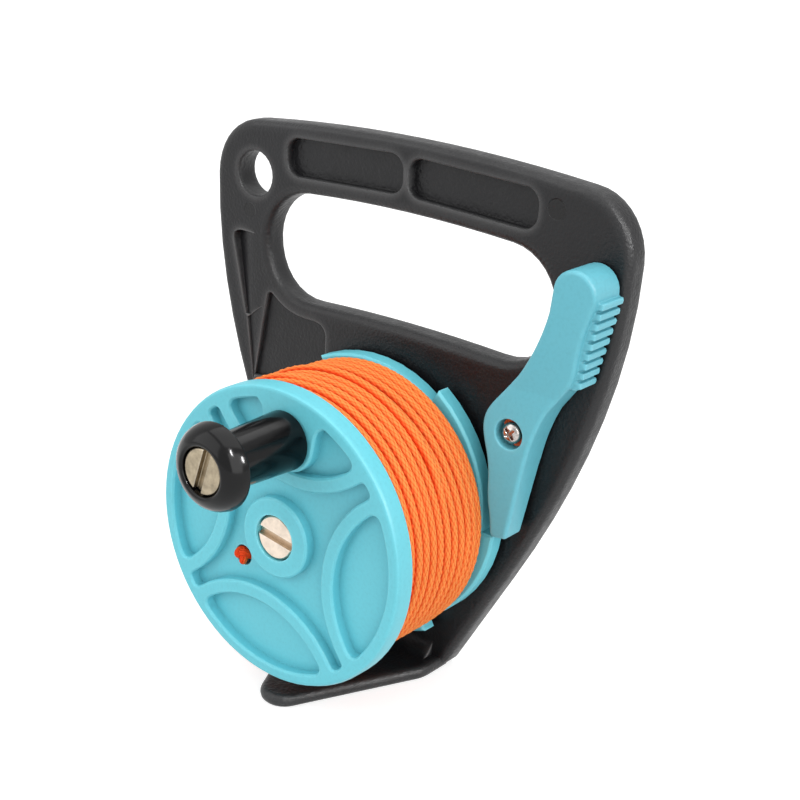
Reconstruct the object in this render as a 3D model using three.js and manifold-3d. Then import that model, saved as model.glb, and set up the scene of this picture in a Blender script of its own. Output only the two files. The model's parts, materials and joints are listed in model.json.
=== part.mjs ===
// A hand reel for divers: a flat moulded frame with a hand opening and a foot, a spool of braided
// line turned by a crank grip, and a sprung thumb lever that stops the spool at its ratchet.
// Millimetres, +Z up, the crank faces -Y. The origin lies on the underside of the foot, below the
// spool axis, in the plane of the plate's front face.
import * as THREE from 'three';
import { mergeVertices } from 'three/addons/utils/BufferGeometryUtils.js';
import Module from 'manifold-3d';

const wasm = await Module();
wasm.setup();

// ---- Spool ----
const FLANGE_R = 47.9; // front disc and tips of the ratchet teeth
const FLANGE_T = 7.5; // thickness of the front disc
const POCKET_DEPTH = 3.6; // recesses in the front disc
const RIM_W = 4.2; // flat ring round the recesses
const WALL_T = 4.6; // walls between the D pockets and the star recess
const D_CENTRE = 57.2; // centres of the arcs of the D pockets, from the axis
const D_ARC_R = 38; // outer arc of the walls round the D pockets
const D_COUNT = 4;
const D_ROUND = 3.6; // how far the corners of the D pockets are rounded off
const ARM_ROUND = 2.1; // and those at the ends of the star's arms
const POCKET_EDGE = 0.6;
const HUB_R = 12.9; // raised ring round the bolt head
const TIE_HOLE_R = 3.3; // hole where the line's end is knotted
const TIE_HOLE_AT = 19.8; // its distance from the axis
const TIE_HOLE_ANGLE = -142.2;
const SPOOL_ANGLE = -7.2; // turn of the spool's front pattern at rest, in degrees
const DRUM_R = 12.2;
const DRUM_WALL = 2.5;
const BORE_WALL = 2;
const WEB_T = 1.6;
const LINE_W = 39.2; // room for the line between the flanges
const RATCHET_T = 5.8;
const TEETH = 6;
const TOOTH_DROP = 4.8; // how far a tooth falls from its tip to its foot
const TOOTH_ANGLE = 0.8; // place of a tooth's step at rest
const RATCHET_RECESS = 2.8; // hollow between the ribs on the hidden side
const SPOOL_GAP = 2.2; // ratchet flange to plate

// ---- Line ----
const LINE_START_ANGLE = 121; // where the outer layer begins, on the far side of the spool
const LINE_D = 2.9;
const LINE_SPACE = 0.48; // between neighbouring turns
const LINE_BELOW_RIM = 1.8; // outer layer to the flange's edge

// ---- Axle ----
const SLEEVE_R = 5;
const BOLT_R = 3;
const HEAD_R = 7;
const HEAD_T = 3;
const HEAD_SINK = 0.5; // bolt head below the hub ring
const SLOT_W = 2;
const SLOT_DEPTH = 1.7;
const WASHER_T = 0.9;
const THRUST_R = 9;
const THRUST_T = 1.2;
const BOSS_H = 0.9; // raised ring on the plate under the thrust washer
const NUT_FLATS = 10;
const NUT_T = 4.4;

// ---- Crank ----
const CRANK_INSET = 14.5; // crank axis to the edge of the disc
const CRANK_ANGLE = 83.8; // at rest
const CRANK_BOSS_R = 10.2;
const GRIP_LENGTH = 35;
const GRIP_BASE_R = 9.2;
const GRIP_NECK_R = 8.2;
const CAP_R = 13.1; // widest at the back of the cap
const CAP_LENGTH = 6.9;
const CAP_RECESS = 3.7;
const CRANK_NUT_T = 3.6;

// ---- Frame ----
const PLATE_T = 8.7;
const EDGE_R = 2.7; // rounding of the plate's front edges
const BACK_EDGE_R = 1.1; // and of its back edges
const HALF_W = 80.5; // half width at the shoulders
const TOP_ABOVE = 114.3; // top of the handle above the spool axis
const ARCH = 3.2; // rise of the handle's top
const SHOULDER_DROP = 23.3; // top of the straight side below the top
const CORNER_IN = 17.5; // where the top corners begin, from the side
const WAIST_HALF = 47.2; // half width where the sides turn straight
const WAIST_BELOW = 19.2; // that place, below the spool axis
const BAR_H = 22.6; // hand bar
const ARM_W = 24.1; // sides of the hand opening
const OPENING_H = 36.9;
const OPENING_ARCH = 1.5;
const SLOT_LEN = 47.4; // pockets in the hand bar
const SLOT_H = 12.3;
const SLOT_CORNER = 4.7;
const SLOT_GAP = 2.2;
const SLOT_DEEP = 3.4;
const LANYARD_R = 7.5;
const LANYARD_IN = 17.8; // lanyard hole from the side
const LANYARD_BELOW = 20.9; // and from the top
const ARM_FACET_TILT = 16; // sloping hollow in the left arm, in degrees
const ARM_FACET_H = 28.8;
const ARM_FACET_W = 10.3;
const WEB_POCKET_DEEP = 1.7; // flat panel below the opening's left corner
const WEB_POCKET_W = 26;
const OPENING_RIM = 5.4; // raised band below the opening
const FOOT_HALF = 28.5;
const FOOT_T = 4.3;
const FOOT_GAP = 5.8; // foot to the front disc
const FOOT_OVER = 0.6; // foot's tip in front of the disc
const FOOT_TIP_R = 7.6;
const FOOT_SHOULDER = 11; // length of the foot before it tapers
const FOOT_EDGE = 1.9;
const FOOT_FILLET = 5;
const GUIDE_R = 4; // hole that guides the line
const NUT_POCKET_R = 7.6;

// ---- Stop lever ----
const LEVER_T = 10.2;
const LEVER_GAP = 0.75; // lever to plate
const TIP_GAP = 0.4; // tip to the turning teeth
const TIP_INNER = 3.9; // tip's inner side from the pivot line
const TIP_DROP = 34.5; // tip below the pivot
const TIP_W = 6;
const TIP_ABOVE_STEP = 1.7; // tip above the tooth's step at rest
const HEAD_IN = 19.3; // centre of the lever's round head from the pivot
const HEAD_UP = 47.7;
const HEAD_ROUND = 7.1;
const BULGE = 9.6; // lever's inner side from the pivot, where it is widest
const SHOULDER_X = 16.4; // where the outer side leaves the pivot part for the arm
const SHOULDER_Z = 16.1;
const ARM_FROM = 15; // height over the pivot where the arm begins to grow thicker
const ARM_LEAN = 0.098; // growth of its thickness for each millimetre up
const TIP_FROM = -8; // height where the lower end begins to grow thinner at its back
const TIP_LEAN = 0.075;
const RIBS = 9;
const RIB_PITCH = 3.15;
const RIB_OUT = 1.6;
const RIB_LEAN = 0.233; // how far the row of ribs moves inward for each millimetre down
const COUNTERBORE_R = 4.75;
const COUNTERBORE_DEPTH = 4.6;
const BUSH_R = 3.7;
const BUSH_FLANGE_R = 4.4;
const BUSH_FLANGE_T = 1;
const PIN_R = 1.5;
const PIN_HEAD_R = 2.8;
const PIN_HEAD_T = 1.8;
const INSERT_R = 2.9;
const INSERT_T = 6;
const SPRING_R = 4.65;
const SPRING_WIRE = 0.8;
const SPRING_TURNS = 3;
const SPRING_PITCH = 1.25;
const SPRING_ROOM = 0.3; // spring to the wall of its pocket

const CLEAR = 0.3; // running and seating clearance

// ---- Places along the spool axis and heights that follow from the sizes ----
const RATCHET_BACK = -SPOOL_GAP;
const RATCHET_FRONT = RATCHET_BACK - RATCHET_T;
const FLANGE_BACK = RATCHET_FRONT - LINE_W;
const FLANGE_FRONT = FLANGE_BACK - FLANGE_T;
const AXIS_Z = FOOT_T + FOOT_GAP + FLANGE_R;
const TOP_Z = AXIS_Z + TOP_ABOVE;
const OPEN_TOP = TOP_Z - BAR_H;
const OPEN_LOW = OPEN_TOP - OPENING_H;
const OPEN_HALF = HALF_W - ARM_W;
const CRANK_R = FLANGE_R - CRANK_INSET;
const PIVOT_X = FLANGE_R + TIP_GAP + TIP_INNER;
const PIVOT_Z = AXIS_Z + TIP_DROP + TIP_ABOVE_STEP + 0.5;
const LEVER_BACK = -LEVER_GAP;
const LEVER_FRONT = LEVER_BACK - LEVER_T;

const TEAL = 0x58c2cd;
const rad = THREE.MathUtils.degToRad;

// A closed geometry with merged corners becomes a solid that can be cut and joined.
function solid(geometry) {
  const bare = geometry.clone();
  bare.deleteAttribute('normal');
  bare.deleteAttribute('uv');
  const merged = mergeVertices(bare, 1e-4);
  const corners = merged.index.array;
  const kept = [];
  for (let i = 0; i < corners.length; i += 3) {
    const [a, b, c] = [corners[i], corners[i + 1], corners[i + 2]];
    if (a !== b && b !== c && c !== a) kept.push(a, b, c);
  }
  return new wasm.Manifold(new wasm.Mesh({
    numProp: 3,
    vertProperties: new Float32Array(merged.attributes.position.array),
    triVerts: new Uint32Array(kept),
  }));
}

function join(first, ...others) {
  return others.reduce((sum, other) => sum.add(other), first);
}

function cut(first, ...others) {
  return others.reduce((rest, other) => rest.subtract(other), first);
}

// The finished solid as a geometry for a mesh.
function skin(body) {
  const mesh = body.getMesh();
  const geometry = new THREE.BufferGeometry();
  geometry.setAttribute('position', new THREE.BufferAttribute(mesh.vertProperties, 3));
  geometry.setIndex(new THREE.BufferAttribute(mesh.triVerts, 1));
  geometry.computeVertexNormals();
  return geometry;
}

// Corners of an outline drawn as a path, without doubled points or points within a straight side.
function corners(path, divisions) {
  const out = [];
  for (const p of path.getPoints(divisions)) {
    if (!out.length || p.distanceTo(out[out.length - 1]) > 0.02) out.push(p);
  }
  if (out[0].distanceTo(out[out.length - 1]) < 0.02) out.pop();
  if (THREE.ShapeUtils.area(out) < 0) out.reverse();
  return out.filter((p, i) => {
    const before = p.clone().sub(out[(i + out.length - 1) % out.length]);
    const after = out[(i + 1) % out.length].clone().sub(p);
    return Math.abs(before.cross(after)) > 1e-4;
  });
}

// Moves an outline outward by a distance, square to its sides.
function grown(points, distance) {
  const count = points.length;
  return points.map((p, i) => {
    const before = points[(i + count - 1) % count];
    const after = points[(i + 1) % count];
    const inSide = p.clone().sub(before).normalize();
    const outSide = after.clone().sub(p).normalize();
    const normal = new THREE.Vector2(inSide.y + outSide.y, -inSide.x - outSide.x).normalize();
    const stretch = Math.max(0.6, Math.abs(normal.x * inSide.y - normal.y * inSide.x));
    return p.clone().addScaledVector(normal, distance / stretch);
  });
}

// A body with an outline in the XZ plane, given by its width change at each depth along Y.
function slab(points, levels) {
  const count = points.length;
  const rings = levels.map(([, distance]) => grown(points, distance));
  const positions = [];
  rings.forEach((ring, k) => ring.forEach((p) => positions.push(p.x, levels[k][0], p.y)));
  const index = [];
  for (let k = 0; k + 1 < rings.length; k += 1) {
    for (let i = 0; i < count; i += 1) {
      const j = (i + 1) % count;
      const [a, b, c, d] = [k * count + i, k * count + j, (k + 1) * count + i, (k + 1) * count + j];
      index.push(a, b, d, a, d, c);
    }
  }
  const last = (rings.length - 1) * count;
  for (const [a, b, c] of THREE.ShapeUtils.triangulateShape(rings[0], [])) index.push(a, c, b);
  for (const [a, b, c] of THREE.ShapeUtils.triangulateShape(rings[rings.length - 1], [])) {
    index.push(last + a, last + b, last + c);
  }
  const geometry = new THREE.BufferGeometry();
  geometry.setAttribute('position', new THREE.Float32BufferAttribute(positions, 3));
  geometry.setIndex(index);
  let volume = 0;
  const at = (i) => new THREE.Vector3().fromArray(positions, 3 * i);
  for (let i = 0; i < index.length; i += 3) {
    volume += at(index[i]).dot(at(index[i + 1]).cross(at(index[i + 2])));
  }
  if (volume < 0) {
    for (let i = 0; i < index.length; i += 3) {
      [index[i + 1], index[i + 2]] = [index[i + 2], index[i + 1]];
    }
    geometry.setIndex(index);
  }
  return solid(geometry);
}

// Depths and width changes of a slab whose front and back edges are rounded.
function roundedLevels(front, back, radius, steps, backRadius = radius) {
  const edge = (from, inward, r) => Array.from({ length: steps + 1 }, (_, i) => {
    const turn = (i / steps) * Math.PI / 2;
    return [from + inward * r * (1 - Math.cos(turn)), -r * (1 - Math.sin(turn))];
  });
  return [...edge(front, 1, radius), ...edge(back, -1, backRadius).reverse()];
}

// Depths and width changes of a cutter that rounds over the edges of the hole it makes.
function mouthLevels(mouth, floor, radius, steps) {
  const inward = Math.sign(floor - mouth);
  const levels = [[mouth - inward * 1, radius]];
  for (let i = 0; i <= steps; i += 1) {
    const turn = (i / steps) * Math.PI / 2;
    levels.push([mouth + inward * radius * (1 - Math.cos(turn)), radius * (1 - Math.sin(turn))]);
  }
  levels.push([floor, 0]);
  return levels;
}

// A body turned round the Y axis at (x, z), from [radius, y] corners.
function turned(profile, x = 0, z = 0, segments = 26) {
  const geometry = new THREE.LatheGeometry(profile.map(([r, y]) => new THREE.Vector2(r, y)), segments);
  geometry.translate(x, 0, z);
  const body = solid(geometry);
  return body.volume() < 0 ? solid(flipped(geometry)) : body;
}

function flipped(geometry) {
  const other = geometry.clone();
  const index = Array.from(other.index.array);
  for (let i = 0; i < index.length; i += 3) {
    [index[i + 1], index[i + 2]] = [index[i + 2], index[i + 1]];
  }
  other.setIndex(index);
  return other;
}

function rod(radius, from, to, x = 0, z = 0, segments = 26) {
  return turned([[0, from], [radius, from], [radius, to], [0, to]], x, z, segments);
}

function tube(inner, outer, from, to, x = 0, z = 0, segments = 26) {
  return turned([[inner, from], [outer, from], [outer, to], [inner, to], [inner, from]], x, z, segments);
}

function block(x0, x1, y0, y1, z0, z1) {
  const geometry = new THREE.BoxGeometry(x1 - x0, y1 - y0, z1 - z0);
  geometry.translate((x0 + x1) / 2, (y0 + y1) / 2, (z0 + z1) / 2);
  return solid(geometry);
}

function hexagon(flats, from, to, x, z) {
  return rod(flats / Math.sqrt(3), from, to, x, z, 6);
}

function polar(radius, degrees) {
  return [radius * Math.cos(rad(degrees)), radius * Math.sin(rad(degrees))];
}

function mesh(name, body, colour, roughness, metalness, x = 0, z = 0) {
  const material = new THREE.MeshStandardMaterial({ color: colour, roughness, metalness });
  const node = new THREE.Mesh(skin(body), material);
  node.name = name;
  node.position.set(x, 0, z);
  return node;
}

// Outline of the plate: straight lower sides that swell into the shoulders of the handle.
function plateOutline() {
  const shoulder = TOP_Z - SHOULDER_DROP;
  const cornerX = HALF_W - CORNER_IN;
  const cornerZ = TOP_Z - ARCH;
  const waistZ = AXIS_Z - WAIST_BELOW;
  const rise = (shoulder - waistZ) / 3;
  const slope = (WAIST_HALF - FOOT_HALF) / (waistZ - FOOT_T);
  const baseX = FOOT_HALF - slope * FOOT_T;
  const round = EDGE_R * 1.25;
  const path = new THREE.Path();
  const half = [];
  path.moveTo(baseX - round, 0);
  path.quadraticCurveTo(baseX, 0, baseX + slope * round, round);
  path.lineTo(WAIST_HALF, waistZ);
  path.bezierCurveTo(WAIST_HALF + slope * rise, waistZ + rise, HALF_W, shoulder - rise, HALF_W, shoulder);
  path.bezierCurveTo(HALF_W, shoulder + 11, cornerX + 9.9, cornerZ - 0.6, cornerX, cornerZ);
  half.push(...path.getPoints(9));
  const arch = new THREE.QuadraticBezierCurve(
    new THREE.Vector2(cornerX, cornerZ),
    new THREE.Vector2(0, cornerZ + 2 * ARCH),
    new THREE.Vector2(-cornerX, cornerZ),
  );
  const mirrored = half.map((p) => new THREE.Vector2(-p.x, p.y)).reverse();
  return corners(new THREE.Path([...half, ...arch.getPoints(12), ...mirrored]), 1);
}

// Outline of the hand opening: a flat-topped oval whose lower corners are drawn in.
function openingOutline() {
  const middle = OPEN_LOW + OPENING_H * 0.49;
  const topX = OPEN_HALF - 16;
  const lowX = OPEN_HALF - 20;
  const topZ = OPEN_TOP - OPENING_ARCH;
  const lowZ = OPEN_LOW - 1;
  const path = new THREE.Path();
  path.moveTo(-topX, topZ);
  path.quadraticCurveTo(0, topZ + 2 * OPENING_ARCH, topX, topZ);
  path.bezierCurveTo(topX + 9, topZ - 0.8, OPEN_HALF, middle + 9, OPEN_HALF, middle);
  path.bezierCurveTo(OPEN_HALF, middle - 11, lowX + 12.5, lowZ - 1, lowX, lowZ);
  path.quadraticCurveTo(0, lowZ + 2, -lowX, lowZ);
  path.bezierCurveTo(-lowX - 12.5, lowZ - 1, -OPEN_HALF, middle - 11, -OPEN_HALF, middle);
  path.bezierCurveTo(-OPEN_HALF, middle + 9, -topX - 9, topZ - 0.8, -topX, topZ);
  return corners(path, 8);
}

// A long pocket with rounded corners, centred at (x, z) and tilted with the arch of the bar.
function slotOutline(x, z, tilt) {
  const [w, h, r] = [SLOT_LEN / 2, SLOT_H / 2, SLOT_CORNER];
  const path = new THREE.Path();
  path.absarc(w - r, r - h, r, -Math.PI / 2, 0, false);
  path.absarc(w - r, h - r, r, 0, Math.PI / 2, false);
  path.absarc(r - w, h - r, r, Math.PI / 2, Math.PI, false);
  path.absarc(r - w, r - h, r, Math.PI, Math.PI * 1.5, false);
  return corners(path, 3).map((p) => p.rotateAround(new THREE.Vector2(), tilt).add(new THREE.Vector2(x, z)));
}

// A sloping hollow: its outline is cut flush along the right side and deepens toward the left.
function facet(points, hingeX, degrees) {
  const path = new THREE.Path(points.map(([x, z]) => new THREE.Vector2(x, z)));
  const cutter = slab(corners(path, 1), [[-6, 0], [0, 0]]);
  return cutter.translate([-hingeX, 0, 0]).rotate([0, 0, -degrees]).translate([hingeX, 0, 0]);
}

// The hollows of the left arm: a long sloping one and a wedge that runs down to a point.
function armFacets() {
  const right = -OPEN_HALF - OPENING_RIM;
  const top = OPEN_LOW + OPENING_H / 2;
  const low = top - ARM_FACET_H;
  const left = right - ARM_FACET_W;
  const long = facet([
    [left + 0.5, top - 3.4], [left + 0.9, top - 1.4], [left + 2.4, top - 0.3], [left + 4.4, top],
    [right, top], [right + 0.9, low], [left + 6.8, low],
  ], right, ARM_FACET_TILT);
  const wedge = facet([
    [left + 7.6, low - 1], [right + 6, low + 6], [right + 0.8, low - 22.8],
  ], right + 4, ARM_FACET_TILT * 0.5);
  return [long, wedge];
}

// The flat panel below the opening's left corner, reaching behind the spool.
function webPocketOutline() {
  const path = new THREE.Path();
  const left = -OPEN_HALF + 1;
  const top = OPEN_LOW - OPENING_RIM;
  const right = left + WEB_POCKET_W;
  path.moveTo(left, top + 3.9);
  path.quadraticCurveTo(left + 0.6, top + 5.6, left + 2.4, top + 4.4);
  path.bezierCurveTo(left + 6.5, top + 1.4, left + 10.5, top - 0.6, left + 17, top - 0.7);
  path.lineTo(left + 21, top - 0.7);
  path.bezierCurveTo(left + 24, top - 0.8, left + 25.4, top - 2, right, top - 4.6);
  path.lineTo(right, top - 22);
  path.lineTo(left - 5.4, top - 26);
  return corners(path, 5);
}

// Plan of the foot, from the back of the plate to its round tip; x and distance forward.
function footOutline() {
  const reach = FOOT_OVER - FLANGE_FRONT;
  const tipY = reach - FOOT_TIP_R;
  const side = FOOT_HALF - FOOT_EDGE;
  const from = new THREE.Vector2(side - 1.2, FOOT_SHOULDER);
  const gap = new THREE.Vector2(0, tipY).sub(from);
  const turn = Math.atan2(gap.y, gap.x) - Math.asin(FOOT_TIP_R / gap.length());
  const angle = turn - Math.PI / 2;
  const path = new THREE.Path();
  path.moveTo(-side, -EDGE_R - 1);
  path.lineTo(side, -EDGE_R - 1);
  path.lineTo(side, FOOT_SHOULDER - 6);
  path.quadraticCurveTo(side, FOOT_SHOULDER - 2.5, from.x, from.y);
  path.absarc(0, tipY, FOOT_TIP_R, angle, Math.PI - angle, false);
  path.lineTo(-from.x, from.y);
  path.quadraticCurveTo(-side, FOOT_SHOULDER - 2.5, -side, FOOT_SHOULDER - 6);
  return corners(path, 6);
}

// The concave fillet that stiffens the corner between foot and plate.
function footFillet() {
  const shape = new THREE.Shape();
  shape.moveTo(-1, FOOT_T - 1);
  shape.lineTo(FOOT_FILLET, FOOT_T - 1);
  shape.lineTo(FOOT_FILLET, FOOT_T);
  shape.absarc(FOOT_FILLET, FOOT_T + FOOT_FILLET, FOOT_FILLET, -Math.PI / 2, -Math.PI, true);
  shape.lineTo(-1, FOOT_T + FOOT_FILLET);
  const width = 2 * (FOOT_HALF - 6);
  const geometry = new THREE.ExtrudeGeometry(shape, { depth: width, bevelEnabled: false, curveSegments: 5 });
  // The drawing's X runs forward and its Y runs up; the length lies across the frame.
  geometry.applyMatrix4(new THREE.Matrix4().set(
    0, 0, 1, -width / 2,
    -1, 0, 0, 0,
    0, 1, 0, 0,
    0, 0, 0, 1,
  ));
  const body = solid(geometry);
  return body.volume() < 0 ? solid(flipped(geometry.index ? geometry : mergeVertices(geometry))) : body;
}

function frame() {
  const plate = slab(plateOutline(), roundedLevels(0, PLATE_T, EDGE_R, 3, BACK_EDGE_R));
  const foot = slab(footOutline(), roundedLevels(0, FOOT_T, FOOT_EDGE, 3));
  const laid = foot.rotate([90, 0, 0]);
  const bossRing = rod(THRUST_R, -BOSS_H, 1, 0, AXIS_Z);
  let body = join(plate, laid, footFillet(), bossRing);

  const opening = openingOutline();
  const through = [
    ...mouthLevels(0, PLATE_T / 2, EDGE_R, 3),
    ...mouthLevels(PLATE_T, PLATE_T / 2, BACK_EDGE_R, 2).reverse().slice(1),
  ];
  const lanyard = corners(new THREE.Path().absarc(
    -HALF_W + LANYARD_IN, TOP_Z - LANYARD_BELOW, LANYARD_R, 0, 2 * Math.PI, false,
  ), 13);
  const lanyardLevels = [
    ...mouthLevels(0, PLATE_T / 2, 1, 2),
    ...mouthLevels(PLATE_T, PLATE_T / 2, 1, 2).reverse().slice(1),
  ];
  body = cut(body, slab(opening, through), slab(lanyard, lanyardLevels));

  const slotX = (SLOT_LEN + SLOT_GAP) / 2;
  const slotZ = TOP_Z - BAR_H / 2 - ARCH / 6;
  const lean = 2 * ARCH * slotX / (HALF_W - CORNER_IN) ** 2;
  for (const side of [-1, 1]) {
    const outline = slotOutline(side * slotX, slotZ, -side * lean);
    body = cut(body, slab(outline, mouthLevels(0, SLOT_DEEP, 0.8, 2)));
  }
  body = cut(body, ...armFacets(), slab(webPocketOutline(), mouthLevels(0, WEB_POCKET_DEEP, 0.3, 1)));

  // Way of the axle, the pocket of its nut, the seat of the lever's insert and the line guide.
  body = cut(
    body,
    rod(BOLT_R + CLEAR, -BOSS_H - 1, PLATE_T + 1, 0, AXIS_Z),
    rod(NUT_POCKET_R, PLATE_T - NUT_T - WASHER_T - 3 * CLEAR, PLATE_T + 1, 0, AXIS_Z),
    rod(INSERT_R + CLEAR, -1, INSERT_T + 2 * CLEAR, PIVOT_X, PIVOT_Z, 32),
  );
  const guideY = (FLANGE_BACK + RATCHET_FRONT) / 2;
  const guide = turned([
    [0, -1], [GUIDE_R + 0.8, -1], [GUIDE_R + 0.8, 0], [GUIDE_R, 0.8],
    [GUIDE_R, FOOT_T - 0.8], [GUIDE_R + 0.8, FOOT_T], [GUIDE_R + 0.8, FOOT_T + 1], [0, FOOT_T + 1],
  ], 0, 0, 20).rotate([90, 0, 0]).translate([0, guideY, 0]);
  return cut(body, guide);
}

// An island with a sloping edge that is left standing in the recesses of the front disc.
function island(radius, x, z) {
  const front = FLANGE_FRONT;
  return turned([
    [0, front - 1], [radius - POCKET_EDGE, front - 1], [radius - POCKET_EDGE, front],
    [radius, front + POCKET_EDGE], [radius, front + POCKET_DEPTH], [0, front + POCKET_DEPTH],
  ], x, z, 40);
}

// Where an arc round the centre of a D meets the circle inside the rim.
function dCorner(arc) {
  const reach = FLANGE_R - RIM_W;
  const turn = Math.acos((reach ** 2 + D_CENTRE ** 2 - arc ** 2) / (2 * reach * D_CENTRE));
  const sweep = Math.acos((D_CENTRE - reach * Math.cos(turn)) / arc);
  return { reach, turn, sweep };
}

function onCircle(radius, turn) {
  return [radius * Math.cos(turn), radius * Math.sin(turn)];
}

// The star recess: along the wall of each D and round the end of the arm beside it.
function starOutline() {
  const { reach, turn, sweep } = dCorner(D_ARC_R);
  const wall = sweep - ARM_ROUND / D_ARC_R;
  const tip = turn + ARM_ROUND / reach;
  const pitch = (2 * Math.PI) / D_COUNT;
  const path = new THREE.Path();
  const next = new THREE.Vector2(D_CENTRE - D_ARC_R * Math.cos(wall), -D_ARC_R * Math.sin(wall));
  next.rotateAround(new THREE.Vector2(), pitch);
  path.absarc(D_CENTRE, 0, D_ARC_R, Math.PI + wall, Math.PI - wall, true);
  path.quadraticCurveTo(...onCircle(reach, turn), ...onCircle(reach, tip));
  path.lineTo(...onCircle(reach, pitch - tip));
  path.quadraticCurveTo(...onCircle(reach, pitch - turn), next.x, next.y);
  const points = [];
  for (let i = 0; i < D_COUNT; i += 1) {
    const angle = rad(SPOOL_ANGLE) + pitch * i;
    for (const p of path.getPoints(7)) points.push(p.rotateAround(new THREE.Vector2(), angle));
  }
  return corners(new THREE.Path(points), 1);
}

// One D pocket: a rim side, an arched wall side and two rounded corners.
function dOutline(place) {
  const arc = D_ARC_R - WALL_T;
  const { reach, turn, sweep } = dCorner(arc);
  const wall = sweep - D_ROUND / arc;
  const side = turn - D_ROUND / reach;
  const path = new THREE.Path();
  const [x, z] = [D_CENTRE - arc * Math.cos(wall), arc * Math.sin(wall)];
  path.absarc(0, 0, reach, -side, side, false);
  path.quadraticCurveTo(...onCircle(reach, turn), x, z);
  path.absarc(D_CENTRE, 0, arc, Math.PI - wall, Math.PI + wall, false);
  path.quadraticCurveTo(...onCircle(reach, -turn), ...onCircle(reach, -side));
  const angle = rad(SPOOL_ANGLE) + ((2 * Math.PI) / D_COUNT) * place;
  return corners(path, 8).map((p) => p.rotateAround(new THREE.Vector2(), angle));
}

// The solid ground between the crank's boss and the rim, with hollow corners at both sides.
function bossFoot() {
  const reach = FLANGE_R - RIM_W;
  const half = [
    [CRANK_R, CRANK_BOSS_R], [reach - 5.7, CRANK_BOSS_R + 0.2], [reach - 3.5, CRANK_BOSS_R + 1],
    [reach - 2.1, CRANK_BOSS_R + 2.8], [reach - 1.7, CRANK_BOSS_R + 5.8], [FLANGE_R, CRANK_BOSS_R + 5.8],
  ];
  const around = [...half, ...half.map(([u, v]) => [u, -v]).reverse()];
  const points = around.map(([u, v]) => (
    new THREE.Vector2(u, v).rotateAround(new THREE.Vector2(), rad(CRANK_ANGLE))
  ));
  const front = FLANGE_FRONT;
  return slab(corners(new THREE.Path(points), 1), [
    [front - 1, -POCKET_EDGE], [front, -POCKET_EDGE], [front + POCKET_EDGE, 0], [front + POCKET_DEPTH + 1, 0],
  ]);
}

function frontFlange() {
  const front = FLANGE_FRONT;
  const back = FLANGE_BACK;
  const disc = turned([
    [0, front], [FLANGE_R - 1.6, front], [FLANGE_R - 0.5, front + 0.5], [FLANGE_R, front + 1.6],
    [FLANGE_R, back - 1], [FLANGE_R - 1.2, back], [0, back],
  ], 0, 0, 80);
  const levels = mouthLevels(front, front + POCKET_DEPTH, POCKET_EDGE, 1);
  const star = cut(slab(starOutline(), levels), island(HUB_R, 0, 0));
  const [cx, cz] = polar(CRANK_R, CRANK_ANGLE);
  const crankBoss = join(island(CRANK_BOSS_R, cx, cz), bossFoot());
  const wells = Array.from({ length: D_COUNT }, (_, i) => cut(slab(dOutline(i), levels), crankBoss));
  const [tx, tz] = polar(TIE_HOLE_AT, TIE_HOLE_ANGLE);
  const spigot = tube(
    SLEEVE_R + CLEAR + BORE_WALL + CLEAR, DRUM_R - DRUM_WALL - CLEAR, back - 0.5, back + 3.2,
  );
  return cut(
    join(cut(disc, star, ...wells), spigot),
    rod(TIE_HOLE_R, front, back + 1, tx, tz, 24),
    rod(SLEEVE_R + CLEAR, front - 1, back + 4),
    rod(HEAD_R + CLEAR + 0.1, front - 1, front + HEAD_SINK + HEAD_T + WASHER_T + 2 * CLEAR),
    rod(BOLT_R + CLEAR, front - 1, back + 1, cx, cz, 32),
    hexagon(NUT_FLATS + 2 * CLEAR, back - CRANK_NUT_T - CLEAR, back + 1, cx, cz),
  );
}

// Saw teeth: each falls steadily from its tip to the foot of the next tooth's step.
function ratchetOutline() {
  const pitch = 360 / TEETH;
  const steps = 8;
  const points = [];
  for (let tooth = 0; tooth < TEETH; tooth += 1) {
    for (let i = 0; i <= steps; i += 1) {
      const share = i / steps;
      const angle = TOOTH_ANGLE + pitch * (tooth + share);
      const [x, z] = polar(FLANGE_R - TOOTH_DROP * (1 - share), angle);
      points.push(new THREE.Vector2(x, z));
    }
  }
  return points;
}

function ratchetDrum() {
  const bore = SLEEVE_R + CLEAR;
  const hub = bore + BORE_WALL;
  const flange = slab(ratchetOutline(), [
    [RATCHET_FRONT, -0.7], [RATCHET_FRONT + 0.7, 0], [RATCHET_BACK - 0.5, 0], [RATCHET_BACK, -0.5],
  ]);
  const end = FLANGE_BACK + CLEAR;
  let body = join(
    flange,
    tube(DRUM_R - DRUM_WALL, DRUM_R, end, RATCHET_FRONT + 1),
    tube(bore, hub, end, RATCHET_FRONT + 1),
  );
  const hollowR = FLANGE_R - TOOTH_DROP - 4;
  let hollow = tube(DRUM_R + 2, hollowR, RATCHET_BACK - RATCHET_RECESS, RATCHET_BACK + 1, 0, 0, 64);
  for (let i = 0; i < TEETH; i += 1) {
    const rib = block(0, FLANGE_R, RATCHET_BACK - RATCHET_T, RATCHET_BACK + 2, -WEB_T / 2, WEB_T / 2);
    hollow = hollow.subtract(rib.rotate([0, (360 / TEETH) * (i + 0.5), 0]));
  }
  body = cut(
    body,
    hollow,
    rod(bore, FLANGE_BACK, RATCHET_BACK + 1),
    rod(THRUST_R + CLEAR, -BOSS_H - THRUST_T - 2 * CLEAR, RATCHET_BACK + 1),
  );
  const between = (bore + BORE_WALL / 2 + DRUM_R - DRUM_WALL / 2) / 2;
  const reach = (DRUM_R - DRUM_WALL - hub) / 2 + 0.6;
  for (let i = 0; i < 4; i += 1) {
    const web = block(
      between - reach, between + reach, end + 3.6, RATCHET_FRONT + 1, -WEB_T / 2, WEB_T / 2,
    );
    body = body.add(web.rotate([0, 90 * i + 45, 0]));
  }
  return body;
}

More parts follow.
